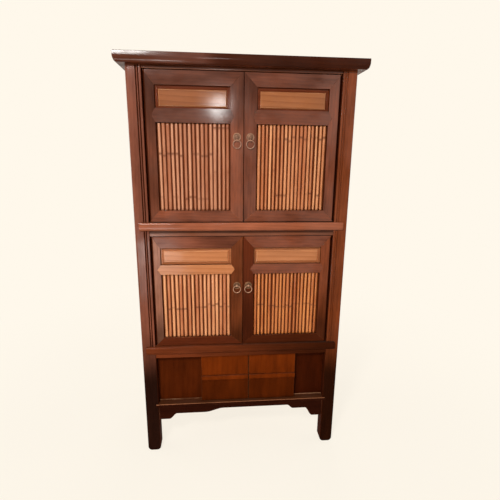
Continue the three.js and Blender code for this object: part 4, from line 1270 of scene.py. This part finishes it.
@dataclass
class Carcass:
    """Posts, sides, rails, decks and back.

    Attributes:
        post_arris: easing of the posts.
        foot_round: radius of the feet's lower corners.
        rail_arris: easing of the front rails.
        side_rail: distance from the middle past which a side's faces are its rails'.
        post_face: depth of the posts' front.
        groove_top: depth below which the posts' grooves are painted dark as shade.
        groove_floor: depth that they stay in front of.
        grooves: distances from the middle between which they lie.
        doorway_half: half the width between the posts.
        doorway_edge: width of the part of a post's rounded corner that is painted dark as shade.
        ledge_lean: least upward part of a normal on the ledge.
        bead_size: side of the beads on the ledge.
        bead_ease: easing of their arrises.
        pin_inset: distance of the back's pins from its edge.
        pin_spacing: usual distance between two pins.
    """

    post_arris: float = 0.0016
    foot_round: float = 0.016
    rail_arris: float = 0.0024
    side_rail: float = 0.494
    post_face: float = -0.300
    groove_top: float = -0.2976
    groove_floor: float = -0.2945
    grooves: Span = (0.4438, 0.4592)
    doorway_half: float = 0.433
    doorway_edge: float = 0.0022
    ledge_lean: float = 0.35
    bead_size: float = 0.006
    bead_ease: float = 0.0024
    pin_inset: float = 0.012
    pin_spacing: float = 0.11

    def build(self, shop: Workshop) -> None:
        """Makes every board of the carcass."""
        for side in Side:
            wood = LEFT_POST_ELM if side is Side.LEFT else RIGHT_POST_ELM
            front, rear = f"post_front_{side.word}", f"post_rear_{side.word}"
            post = {"arris": self.post_arris, "foot": self.foot_round}
            shop.board(front, CARCASS, Run.UP, wood, GAP_SHADE_ELM, faces=self._grimy, **post)
            shop.board(rear, CARCASS, Run.UP, ELM, **post)
            self._side(shop, side)
        self._rail(shop, "head_rail", BROWN_ELM)
        self._rail(shop, "sill_rail", SILL_ELM)
        self._rail(shop, "mid_rail", STRIP_ELM, RAIL_ELM, GAP_SHADE_ELM, faces=self._proud)
        self._rail(shop, "apron", DARK_ELM)
        self._rail(shop, "base_rail", DARK_ELM, LEDGE_ELM, ARRIS_HIGHLIGHT_ELM, faces=self._ledge)
        self._ledge_beads(shop)
        for deck in ("tv_deck", "lower_deck", "base_deck"):
            shop.board(deck, CARCASS, Run.ACROSS, INNER)
        shop.board("back_panel", CARCASS, Run.UP, INNER)
        self._back_pins(shop)

    def _rail(
        self, shop: Workshop, node: str, *woods: WoodFinish, faces: Callable[[Face], int] | None = None,
    ) -> None:
        """Makes a rail across the front."""
        shop.board(node, CARCASS, Run.ACROSS, *woods, arris=self.rail_arris, faces=faces)

    def _grimy(self, face: Face) -> bool:
        """Tells the faces of the left front post's grooves, and each front post's face towards the doors,
        which are painted dark as shade.
        """
        sunk = self.groove_top < face.center.y < self.groove_floor
        grooved = sunk and self.grooves[0] < -face.center.x < self.grooves[1]
        return grooved or abs(face.center.x) < self.doorway_half + self.doorway_edge

    def _proud(self, face: Face) -> int:
        """1 for the mid rail's part that stands proud of the posts, 2 for the lower arris of its strip,
        painted dark as shade.
        """
        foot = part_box("mid_rail")[0].z + self.rail_arris
        return 2 if face.center.z < foot else int(face.center.y < self.post_face - MERGE_DISTANCE)

    def _ledge(self, face: Face) -> int:
        """1 for the base rail's ledge, a little dusty and painted lighter as if lit from above, and 2 for its
        rounded front, which carries a painted highlight.
        """
        return 1 if face.normal.z > EDGE_LEAN else 2 * int(face.normal.z > self.ledge_lean)

    def _ledge_beads(self, shop: Workshop) -> None:
        """Makes the bead on the ledge below each fixed panel."""
        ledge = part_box("base_rail")[1].z
        ledge_wood = shop.palette.wood(LEDGE_ELM, Run.ACROSS)
        for side in Side:
            low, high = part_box(f"fixed_panel_{side.word}")
            work = box_solid((low.x, low.y - self.bead_size, ledge), (high.x, low.y, ledge + self.bead_size))
            bead = shop.joinery.finish(work, f"ledge_bead_{side.word}", self.bead_ease)
            hand_over(bead, CARCASS, materials=[ledge_wood])

    def _side(self, shop: Workshop, side: Side) -> None:
        """Makes one side, whose rails and fields have their grain different ways."""
        node = f"side_panel_{side.word}"

        def place(face: Face) -> int:
            """1 for the rails' faces and 0 for the fields."""
            return int(side.value * face.center.x > self.side_rail)

        woods = [shop.palette.wood(SIDE_ELM, run) for run in (Run.UP, Run.DEEP)]
        hand_over(shop.joinery.eased(node), CARCASS, [node], place, woods)

    def _back_pins(self, shop: Workshop) -> None:
        """Makes the pins that hold the back, along its edges."""
        low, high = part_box("back_panel")
        left, right = low.x + self.pin_inset, high.x - self.pin_inset
        bottom, top = low.z + self.pin_inset, high.z - self.pin_inset
        across = round((right - left) / self.pin_spacing)
        upright = round((top - bottom) / self.pin_spacing)
        places = []
        for step in range(across + 1):
            x = left + (right - left) * step / across
            places += [(x, high.y, bottom), (x, high.y, top)]
        for step in range(1, upright):
            z = bottom + (top - bottom) * step / upright
            places += [(left, high.y, z), (right, high.y, z)]
        values = {"Finish": shop.palette.plain(BRASS)}
        hand_over(grow(shop.pins, "back_panel_pins", places, values), CARCASS)


@dataclass
class Cornice:
    """The cornice frame and the board that it carries.

    Attributes:
        half_width: half the width over the posts.
        half_depth: half the depth over the posts.
        overhang: how far the face stands out.
        undercut: how far the rounded part turns in below the face.
        face_height: height of the upright face.
        inset: how far the frame runs inwards.
        rebate: depth of the seat for the board.
        seat_gap: gap between the seat and the board.
        ease: radius of the face's upper edge.
        ease_steps: steps round that edge.
        steps: steps round the part below the face.
    """

    half_width: float = 0.5
    half_depth: float = 0.3
    overhang: float = 0.039
    undercut: float = 0.012
    face_height: float = 0.015
    inset: float = 0.07
    rebate: float = 0.015
    seat_gap: float = 0.0003
    ease: float = 0.0022
    ease_steps: int = 4
    steps: int = 12

    def build(self, shop: Workshop) -> None:
        """Makes the cornice and its board."""
        across, deep = (shop.palette.wood(CORNICE_ELM, run) for run in (Run.ACROSS, Run.DEEP))
        values = {"Half Width": self.half_width, "Half Depth": self.half_depth, "Finish": across}
        points = [(out, 0.0, up) for out, up in self._profile()]
        piece = even_normals(outward(grow(shop.moulding, "cornice_moulding", points, values)))
        woods = [across, deep, shop.palette.wood(BROWN_ELM, Run.ACROSS)]
        hand_over(piece, CARCASS, ["cornice"], self._place, woods)
        shop.board("top_board", CARCASS, Run.ACROSS, DEEP_ELM)

    def _place(self, face: Face) -> int:
        """1 for the two sides, where the grain runs from front to back, and 2 for the underside."""
        x, y = abs(face.center.x) - self.half_width, abs(face.center.y) - self.half_depth
        return 2 if face.normal.z < -EDGE_LEAN else int(x > y)

    def _profile(self) -> list[Span]:
        """The moulding's profile, from its eased upper edge round to the seat of the board."""
        low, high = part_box("cornice")
        top, bottom, seat = high.z, low.z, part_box("top_board")[0].z - self.seat_gap
        foot = top - self.face_height
        edge = (self.overhang - self.ease, top - self.ease)
        under = (self.overhang - self.undercut, foot)
        return [
            *arc(edge, (self.ease, self.ease), QUARTER, 0.0, self.ease_steps),
            *arc(under, (self.undercut, foot - bottom), 0.0, -QUARTER, self.steps),
            (-self.inset, bottom), (-self.inset, seat), (self.rebate - self.inset, seat),
            (self.rebate - self.inset, top),
        ]


@dataclass
class DrawerBank:
    """The four drawers, their case and the fixed panels beside them.

    Attributes:
        face_back: depth of the drawer faces' back.
        wall: thickness of the box's boards.
        floor: thickness of the box's bottom.
        face_arris: easing of the faces.
        box_arris: easing of the box's boards.
        slack: distance within which a face lies on a plane.
    """

    face_back: float = -0.266
    wall: float = 0.010
    floor: float = 0.008
    face_arris: float = 0.0016
    box_arris: float = 0.0007
    slack: float = 0.0001

    def build(self, shop: Workshop) -> None:
        """Makes the drawers and the boards round them."""
        for side in Side:
            # The right fixed panel takes a darker copy: painted shade
            stain = PANEL_ELM if side is Side.LEFT else SHADED_PANEL_ELM
            shop.board(f"fixed_panel_{side.word}", CARCASS, Run.UP, stain)
            for tier in Tier:
                self._drawer(shop, f"drawer_{tier.value}_{side.word}")
        shop.board("drawer_case", CARCASS, Run.DEEP, INNER)

    def _drawer(self, shop: Workshop, node: str) -> None:
        """Makes one drawer: its face, and the box behind it."""
        work = shop.joinery.copied(node)
        bmesh.ops.remove_doubles(work, verts=work.verts, dist=MERGE_DISTANCE)
        low, high = corners([vert.co for vert in work.verts if vert.co.y > self.face_back + self.slack])
        low.y = self.face_back
        shop.joinery.cut(work, (0, self.face_back, 0), (0, 1, 0), clear=True)
        back = [
            face for face in work.faces
            if face.calc_center_median().y > self.face_back - self.slack and abs(face.normal.y) > EDGE_LEAN
        ]
        bmesh.ops.delete(work, geom=back, context="FACES")
        bmesh.ops.holes_fill(work, edges=[edge for edge in work.edges if edge.is_boundary], sides=0)
        bmesh.ops.recalc_face_normals(work, faces=work.faces)
        face = shop.joinery.finish(work, f"{node}_face", self.face_arris)
        # Painted shade on the faces beside the gaps between drawers
        woods = [shop.palette.wood(wood, Run.UP) for wood in (DRAWER_ELM, GAP_SHADE_ELM)]
        hand_over(face, node, [node], self._beside_gap, woods)
        self._box(shop, node, low, high)

    @staticmethod
    def _beside_gap(face: Face) -> bool:
        """Tells the faces on a drawer's two upright edges, which are painted dark as shade in the gaps."""
        return abs(face.normal.x) > GAP_LEAN

    def _box(self, shop: Workshop, node: str, low: Vector, high: Vector) -> None:
        """Makes the open box behind a drawer's face, of four boards.

        Args:
            shop: the workshop.
            node: the drawer's CAD node, which is also its body.
            low: the box's lowest corner.
            high: the box's highest corner.
        """
        left, right, end = low.x + self.wall, high.x - self.wall, high.y - self.wall
        spans = {
            "side_left": (low, (left, high.y, high.z), Run.DEEP),
            "side_right": ((right, low.y, low.z), high, Run.DEEP),
            "end": ((left, end, low.z), (right, high.y, high.z), Run.ACROSS),
            "bottom": ((left, low.y, low.z), (right, end, low.z + self.floor), Run.DEEP),
        }
        boards = []
        for name, (start, stop, run) in spans.items():
            board = shop.joinery.finish(box_solid(start, stop), f"{node}_{name}", self.box_arris)
            board.data.materials.append(shop.palette.wood(INNER, run))
            boards.append(board)
        hand_over(merged(f"{node}_box", boards), node, [node])


# A turned plate's profile from its rim to its boss: the distance in from the rim, and the height
PLATE_PROFILE = (
    (0.0, 0.0), (0.0, 0.0009), (0.0004, 0.0015), (0.0013, 0.0021), (0.0024, 0.0023), (0.0034, 0.0020),
    (0.0042, 0.0014), (0.0056, 0.0013), (0.0080, 0.0019), (0.0105, 0.0026), (0.0130, 0.0031),
    (0.0150, 0.0033),
)
RUBBED_STEPS = (2, 3, 4)
PLATE_HEIGHT = 0.0034


@dataclass
class Pull:
    """A ring pull: a turned plate with an eye, and a ring that hangs in it.

    Attributes:
        plate_radius: radius of the plate.
        eye_radius: radius of the eye, to the middle of its wire.
        eye_wire: radius of the eye's wire.
        ring_radius: radius of the ring, to the middle of its wire.
        ring_wire: radius of the ring's wire.
        ring_taper: how much thinner the ring is where it hangs.
        steps: points round the plate.
        plate_finish: brass of the plate.
        eye_finish: brass of the eye.
        ring_finish: brass of the ring.
    """

    plate_radius: float = 0.018
    eye_radius: float = 0.0047
    eye_wire: float = 0.0014
    ring_radius: float = 0.0175
    ring_wire: float = 0.0023
    ring_taper: float = 0.16
    steps: int = 56
    plate_finish: BrassFinish = BRASS
    eye_finish: BrassFinish = RING_BRASS
    ring_finish: BrassFinish = DULL_RING_BRASS

    def build(self, shop: Workshop, door: str) -> None:
        """Makes the plate with its eye on the door, and the ring on its own body."""
        low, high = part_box(f"{door}_pull_plate")
        ring_low, ring_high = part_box(f"{door}_pull_ring")
        ring_centre = (ring_low + ring_high) / 2
        plate_centre = Vector(((low.x + high.x) / 2, high.y, high.z - self.plate_radius))
        eye_centre = Vector((plate_centre.x, ring_centre.y, ring_high.z - self.ring_wire))
        plate = self._plate(f"{door}_plate_disc", plate_centre)
        plate.data.materials.append(shop.palette.plain(self.plate_finish))
        eye = self._wire(shop, f"{door}_plate_eye", self.eye_radius, self.eye_wire, 0.0, self.eye_finish)
        eye.data.transform(Matrix.Translation(eye_centre) @ Matrix.Rotation(QUARTER, 4, "Y"))
        piece = merged(f"{door}_pull_plate_turned", [plate, outward(eye)])
        hand_over(piece, door, [f"{door}_pull_plate"])
        shape = (self.ring_radius, self.ring_wire, self.ring_taper)
        ring = self._wire(shop, f"{door}_pull_ring_wire", *shape, self.ring_finish)
        ring.data.transform(Matrix.Translation(ring_centre) @ Matrix.Rotation(QUARTER, 4, "X"))
        hand_over(outward(ring), door.replace("door", "ring"), [f"{door}_pull_ring"])

    @staticmethod
    def _wire(
        shop: Workshop, name: str, radius: float, wire: float, taper: float, finish: BrassFinish,
    ) -> bpy.types.Object:
        """A wire ring that lies flat round the origin."""
        values = {"Ring Radius": radius, "Wire Radius": wire, "Taper": taper}
        return grow(shop.ring, name, [(0, 0, 0)], {**values, "Finish": shop.palette.plain(finish)})

    def _plate(self, name: str, centre: Vector) -> bpy.types.Object:
        """A turned plate with a raised rim, a hollow and a boss for the eye.

        Args:
            name: the object's name.
            centre: the middle of its back.

        Returns:
            The plate.
        """
        work = bmesh.new()
        worn = work.faces.layers.float.new(WORN_ATTRIBUTE)
        turns = [math.tau * step / self.steps for step in range(self.steps)]
        rings = []
        for inset, up in PLATE_PROFILE:
            out = self.plate_radius - inset
            places = [centre + Vector((out * math.cos(turn), -up, out * math.sin(turn))) for turn in turns]
            rings.append([work.verts.new(place) for place in places])
        for level, (first, second) in enumerate(zip(rings, rings[1:])):
            for step in range(self.steps):
                after = (step + 1) % self.steps
                face = work.faces.new((first[step], first[after], second[after], second[step]))
                face[worn] = float(level in RUBBED_STEPS)
        work.faces.new(rings[0])
        tip = work.verts.new(centre + Vector((0, -PLATE_HEIGHT, 0)))
        for step in range(self.steps):
            work.faces.new((rings[-1][step], rings[-1][(step + 1) % self.steps], tip))
        bmesh.ops.recalc_face_normals(work, faces=work.faces)
        return finished(work, name)


MEMBERS = {
    "hinge_stile": Run.UP, "meeting_stile": Run.UP, "top_rail": Run.ACROSS, "lock_rail": Run.ACROSS,
    "bottom_rail": Run.ACROSS,
}

# Least and greatest upright part of the normal of a rail's faces without painted shade. The others are
# painted dark as shade: those beside a gap, and those that the small panel's opening has above it and below
# it
UNSHADED_SPANS = {
    "top_rail": (-EDGE_LEAN, GAP_LEAN), "lock_rail": (-EDGE_LEAN, EDGE_LEAN),
    "bottom_rail": (-GAP_LEAN, math.inf),
}


@dataclass
class Door:
    """One door: its frame, small panel, bamboo and pull.

    Attributes:
        tier: the upper or lower row.
        side: the side of the armoire.
        slats: number of bamboo slats.
        seed: seed of the slats' differences.
        border_finish: wood of the small panel's recessed border and its bead.
        field_finish: wood of the small panel's raised field.
        stains: members whose wood differs from the others', several of them copies with painted light or
            shade.
        bamboo: finish of the slats.
        culm: number of slats split from the first culm, and the height of a row of joints above
            the slats' foot in that culm and in the other.
        member_arris: easing of the frame's members.
        panel_arris: easing of the small panel.
        panel_face: depth of the small panel's border.
        field_level: depth that the panel's field is in front of.
        field_bevel: width of the field's sloping edge.
        bead_width: width of the bead round the field.
        bead_height: its height.
        bead_sink: how far it is let into the border.
        bead_gap: distance between it and the field.
        bead_steps: steps round it.
        board_front: depth of the backing board's front.
        board_arris: easing of the backing board.
        slat_edge: distance of the slats from the stiles.
        slat_end: distance of their ends from the rails.
        slat_crown: their height.
        slat_gap: distance between two of them.
        joint_spacing: distance between two rows of joints.
        pull: the ring pull.
    """

    tier: Tier
    side: Side
    slats: int
    seed: int
    border_finish: WoodFinish
    field_finish: WoodFinish
    stains: dict[str, WoodFinish]
    bamboo: BambooFinish
    culm: tuple[int, float, float]
    member_arris: float = 0.0009
    panel_arris: float = 0.0008
    panel_face: float = -0.284
    field_level: float = -0.2845
    field_bevel: float = 0.003
    bead_width: float = 0.0046
    bead_height: float = 0.0030
    bead_sink: float = 0.0004
    bead_gap: float = 0.0022
    bead_steps: int = 8
    board_front: float = -0.282
    board_arris: float = 0.0005
    slat_edge: float = 0.003
    slat_end: float = 0.0006
    slat_crown: float = 0.008
    slat_gap: float = 0.0026
    joint_spacing: float = 0.195
    pull: Pull = field(default_factory=Pull)

    @property
    def name(self) -> str:
        """The door's name, which is also its body's."""
        return f"door_{self.tier.value}_{self.side.word}"

    def build(self, shop: Workshop) -> None:
        """Makes all the door's pieces."""
        for member, run in MEMBERS.items():
            node, wood = f"{self.name}_{member}", self.stains.get(member, ELM)
            # Faces beside gaps and openings are painted dark as shade
            painted_shade_faces = self._on_long_edge if run is Run.UP else self._outside(*UNSHADED_SPANS[member])
            shop.board(node, self.name, run, wood, GAP_SHADE_ELM, arris=self.member_arris, faces=painted_shade_faces)
        self._small_panel(shop)
        self._bamboo(shop)
        self.pull.build(shop, self.name)

    @staticmethod
    def _on_long_edge(face: Face) -> bool:
        """Tells the faces on a stile's two long edges, with their arrises, which are painted dark as shade.
        """
        return abs(face.normal.x) > GAP_LEAN and abs(face.normal.z) < MITRE_LEAN

    @staticmethod
    def _outside(low: float, high: float) -> Callable[[Face], bool]:
        """The test for faces whose normal's upright part is outside a span."""
        return lambda face: not low <= face.normal.z <= high

    def _field_place(self, face: Face) -> int:
        """1 for the small panel's raised field and 0 for its border."""
        return int(face.center.y < self.field_level)

    def _small_panel(self, shop: Workshop) -> None:
        """Makes the raised panel, and the bead that runs round its field."""
        node = f"{self.name}_small_panel"
        woods = [shop.palette.wood(wood, Run.ACROSS) for wood in (self.border_finish, self.field_finish)]
        piece = shop.joinery.eased(node, self.panel_arris)
        hand_over(piece, self.name, [node], self._field_place, woods)
        points = [vert.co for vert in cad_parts[node].data.vertices]
        low, high = corners([point for point in points if point.y < self.field_level])
        reach, half = self.field_bevel + self.bead_gap + self.bead_width / 2, self.bead_width / 2
        profile = [
            *arc((0.0, 0.0), (half, self.bead_height), 0.0, math.pi, self.bead_steps),
            (-half, -self.bead_sink), (half, -self.bead_sink),
        ]
        bead = grow(shop.moulding, f"{self.name}_panel_bead", [(out, 0.0, up) for out, up in profile], {
            "Half Width": (high.x - low.x) / 2 + reach, "Half Depth": (high.z - low.z) / 2 + reach,
            "Finish": woods[0],
        })
        centre = Vector(((low.x + high.x) / 2, self.panel_face, (low.z + high.z) / 2))
        bead.data.transform(Matrix.Translation(centre) @ Matrix.Rotation(QUARTER, 4, "X"))
        hand_over(even_normals(outward(bead)), self.name)

    def _bamboo(self, shop: Workshop) -> None:
        """Makes the bamboo slats and the dark board behind them."""
        node = f"{self.name}_bamboo_panel"
        low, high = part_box(node)
        stiles = [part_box(f"{self.name}_{stile}") for stile in ("hinge_stile", "meeting_stile")]
        stiles.sort(key=lambda box: box[0].x)
        left, right = stiles[0][1].x + self.slat_edge, stiles[1][0].x - self.slat_edge
        hidden = stiles[0][1].x - low.x + self.slat_end
        board = box_solid((low.x, self.board_front, low.z), high)
        backing = shop.joinery.finish(board, f"{self.name}_bamboo_backing", self.board_arris)
        hand_over(backing, self.name, [node], materials=[shop.palette.wood(BACKING, Run.UP)])
        slats = grow(shop.bamboo, f"{self.name}_bamboo_slats", [(0, 0, 0)], {
            "Left": left, "Plane": self.board_front, "Bottom": low.z + hidden, "Slats": self.slats,
            "Pitch": (right - left) / self.slats, "Gap": self.slat_gap, "Length": high.z - low.z - 2 * hidden,
            "Crown": self.slat_crown, "Joint Spacing": self.joint_spacing, "First Slats": self.culm[0],
            "First Row": self.culm[1], "Other Row": self.culm[2], "Seed": self.seed,
            "Finish": shop.palette.plain(self.bamboo),
        })
        hand_over(outward(slats), self.name, [node])


LOWER_PULL = Pull(plate_finish=BROWNED_BRASS, eye_finish=EYE_BRASS, ring_finish=RING_BRASS)
DOORS = (
    Door(
        Tier.UPPER, Side.LEFT, 17, 21, DARK_BORDER, SHADED_HONEY,
        {
            "hinge_stile": TOP_SHADED_BROWN_ELM, "meeting_stile": TOP_SHADED_ELM, "top_rail": BROWN_ELM,
            "lock_rail": GLEAMING_ELM,
        },
        ROSY_BAMBOO, (13, 0.054, 0.166),
    ),
    Door(
        Tier.UPPER, Side.RIGHT, 18, 34, DARK_BORDER, AGED_HONEY,
        {"meeting_stile": TOP_SHADED_MELLOW_ELM, "top_rail": MELLOW_ELM, "lock_rail": MELLOW_ELM},
        BAMBOO, (5, 0.186, 0.074), joint_spacing=0.25,
    ),
    Door(
        Tier.LOWER, Side.LEFT, 17, 47, HONEY_BORDER, HONEY,
        {
            "hinge_stile": PALE_ELM, "meeting_stile": LOW_SHADED_ELM, "top_rail": LEFT_LIT_ELM, "lock_rail": HONEY,
            "bottom_rail": DIM_ELM,
        },
        BAMBOO, (11, 0.152, 0.164), joint_spacing=0.2, pull=LOWER_PULL,
    ),
    Door(
        Tier.LOWER, Side.RIGHT, 18, 58, HONEY_BORDER, HONEY,
        {"hinge_stile": TAWNY_ELM, "meeting_stile": FALLING_ELM, "bottom_rail": SHADED_ELM},
        AMBER_BAMBOO, (8, 0.158, 0.154), joint_spacing=0.2, pull=LOWER_PULL,
    ),
)


# Studio


@dataclass(frozen=True)
class Lamp:
    """A soft round lamp.

    Attributes:
        name: its name.
        place: where it hangs.
        target: the point that it faces.
        size: its diameter.
        power: in watts.
        spread: how widely it shines, in degrees.
        colour: its linear colour.
    """

    name: str
    place: Colour
    target: Colour
    size: float
    power: float
    spread: float = 180.0
    colour: Colour = (1.0, 0.98, 0.95)

    def hang(self) -> None:
        """Puts the lamp in the scene."""
        data = bpy.data.lights.new(self.name, "AREA")
        data.shape = "DISK"
        data.size = self.size
        data.energy = self.power
        data.spread = math.radians(self.spread)
        data.color = self.colour
        made = bpy.data.objects.new(self.name, data)
        made.location = self.place
        aim = Vector(self.target) - Vector(self.place)
        made.rotation_euler = aim.to_track_quat("-Z", "Y").to_euler()
        bpy.context.scene.collection.objects.link(made)


@dataclass(frozen=True)
class Studio:
    """Pale floor, soft lamps and the camera.

    Attributes:
        backdrop: colour of the floor and backdrop.
        ambient: level of the light from all sides.
        ambient_colour: its linear colour.
        floor_half: half the floor's side.
        floor_share: share of the floor's own light by the armoire, the rest shows shadows.
        fade: distances between which that share grows to the whole.
        lens: the camera's focal length in millimetres.
        sensor: width of its sensor in millimetres.
        camera_place: where it stands.
        camera_turn: its turn to the right, tilt down and roll, in degrees.
        lamps: the lamps.
    """

    backdrop: Rgb = (255, 248, 235)
    ambient: float = 0.12
    ambient_colour: Colour = (1.0, 0.985, 0.965)
    floor_half: float = 40.0
    floor_share: float = 0.85
    fade: Span = (0.6, 2.6)
    lens: float = 27.22
    sensor: float = 36.0
    camera_place: Colour = (-0.123, -2.045, 1.5275)
    camera_turn: Colour = (5.109, 13.849, -0.652)
    lamps: tuple[Lamp, ...] = (
        Lamp("key", (-0.99, -2.6, 2.67), (-0.05, -0.3, 0.95), 0.5, 18.0, spread=90.0),
        Lamp("window", (-0.92, -2.75, 0.22), (-0.3, -0.3, 0.9), 0.85, 15.5),
        Lamp("glint", (-0.075, -2.98, 2.06), (-0.1, -0.3, 1.75), 0.2, 4.2),
        Lamp("front_fill", (2.1, -3.4, 2.2), (0.2, -0.3, 1.2), 2.0, 4.0),
        Lamp("ceiling", (0.0, -1.2, 3.9), (0.0, 0.0, 1.2), 2.2, 7.0),
        Lamp("left_side", (-3.4, 0.4, 1.8), (-0.5, 0.2, 1.0), 3.4, 54.0),
        Lamp("right_side", (3.4, 0.4, 1.8), (0.5, 0.2, 1.0), 3.4, 54.0),
        Lamp("rear", (0.6, 3.4, 2.0), (0.0, 0.3, 1.1), 2.2, 60.0),
    )

    def build(self) -> None:
        """Makes the whole studio."""
        self._world()
        self._floor()
        self._camera()
        for lamp in self.lamps:
            lamp.hang()

    def _world(self) -> None:
        """Makes the world: a plain backdrop, and plain light for the rest."""
        world = bpy.data.worlds.new("studio")
        bpy.context.scene.world = world
        net = Surface(world)
        light = net.out("ShaderNodeBackground", Color=self.ambient_colour, Strength=self.ambient)
        shown = net.out("ShaderNodeBackground", Color=linear(self.backdrop), Strength=1.0)
        net.node("ShaderNodeOutputWorld", Surface=net.blend(net.seen(), light, shown))

    def _floor(self) -> None:
        """Makes the floor, which keeps the armoire's shadow."""
        mesh = bpy.data.meshes.new("studio_floor")
        half = self.floor_half
        places = [(-half, -half, 0), (half, -half, 0), (half, half, 0), (-half, half, 0)]
        mesh.from_pydata(places, [], [(0, 1, 2, 3)])
        made = bpy.data.materials.new("studio_floor")
        mesh.materials.append(made)
        net = Surface(made)
        matt = net.out("ShaderNodeBsdfDiffuse", Color=linear(self.backdrop))
        glow = net.out("ShaderNodeEmission", Color=linear(self.backdrop), Strength=1.0)
        own = net.stretch(net.vector("LENGTH", net.place), self.fade, (self.floor_share, 1.0))
        net.node("ShaderNodeOutputMaterial", Surface=net.blend(net.seen() * own, matt, glow))
        link("studio_floor", mesh)

    def _camera(self) -> None:
        """Puts the camera where the photograph was taken from."""
        yaw, pitch, roll = (math.radians(angle) for angle in self.camera_turn)
        level = math.cos(pitch)
        forward = Vector((math.sin(yaw) * level, math.cos(yaw) * level, -math.sin(pitch)))
        right = Vector((math.cos(yaw), -math.sin(yaw), 0.0))
        down = forward.cross(right)
        across = right * math.cos(roll) + down * math.sin(roll)
        below = down * math.cos(roll) - right * math.sin(roll)
        data = bpy.data.cameras.new("camera")
        data.lens = self.lens
        data.sensor_width = self.sensor
        made = bpy.data.objects.new("camera", data)
        turn = Matrix((across, -below, -forward)).transposed()
        made.matrix_world = Matrix.Translation(self.camera_place) @ turn.to_4x4()
        bpy.context.scene.collection.objects.link(made)
        bpy.context.scene.camera = made


def main() -> None:
    """Builds the armoire's looks and the studio round it."""
    logging.basicConfig(level=logging.INFO, format="%(message)s")
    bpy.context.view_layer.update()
    bpy.context.scene.view_settings.view_transform = "Standard"
    Studio().build()
    shop = Workshop()
    Carcass().build(shop)
    Cornice().build(shop)
    DrawerBank().build(shop)
    for door in DOORS:
        door.build(shop)


if __name__ == "__main__":
    main()
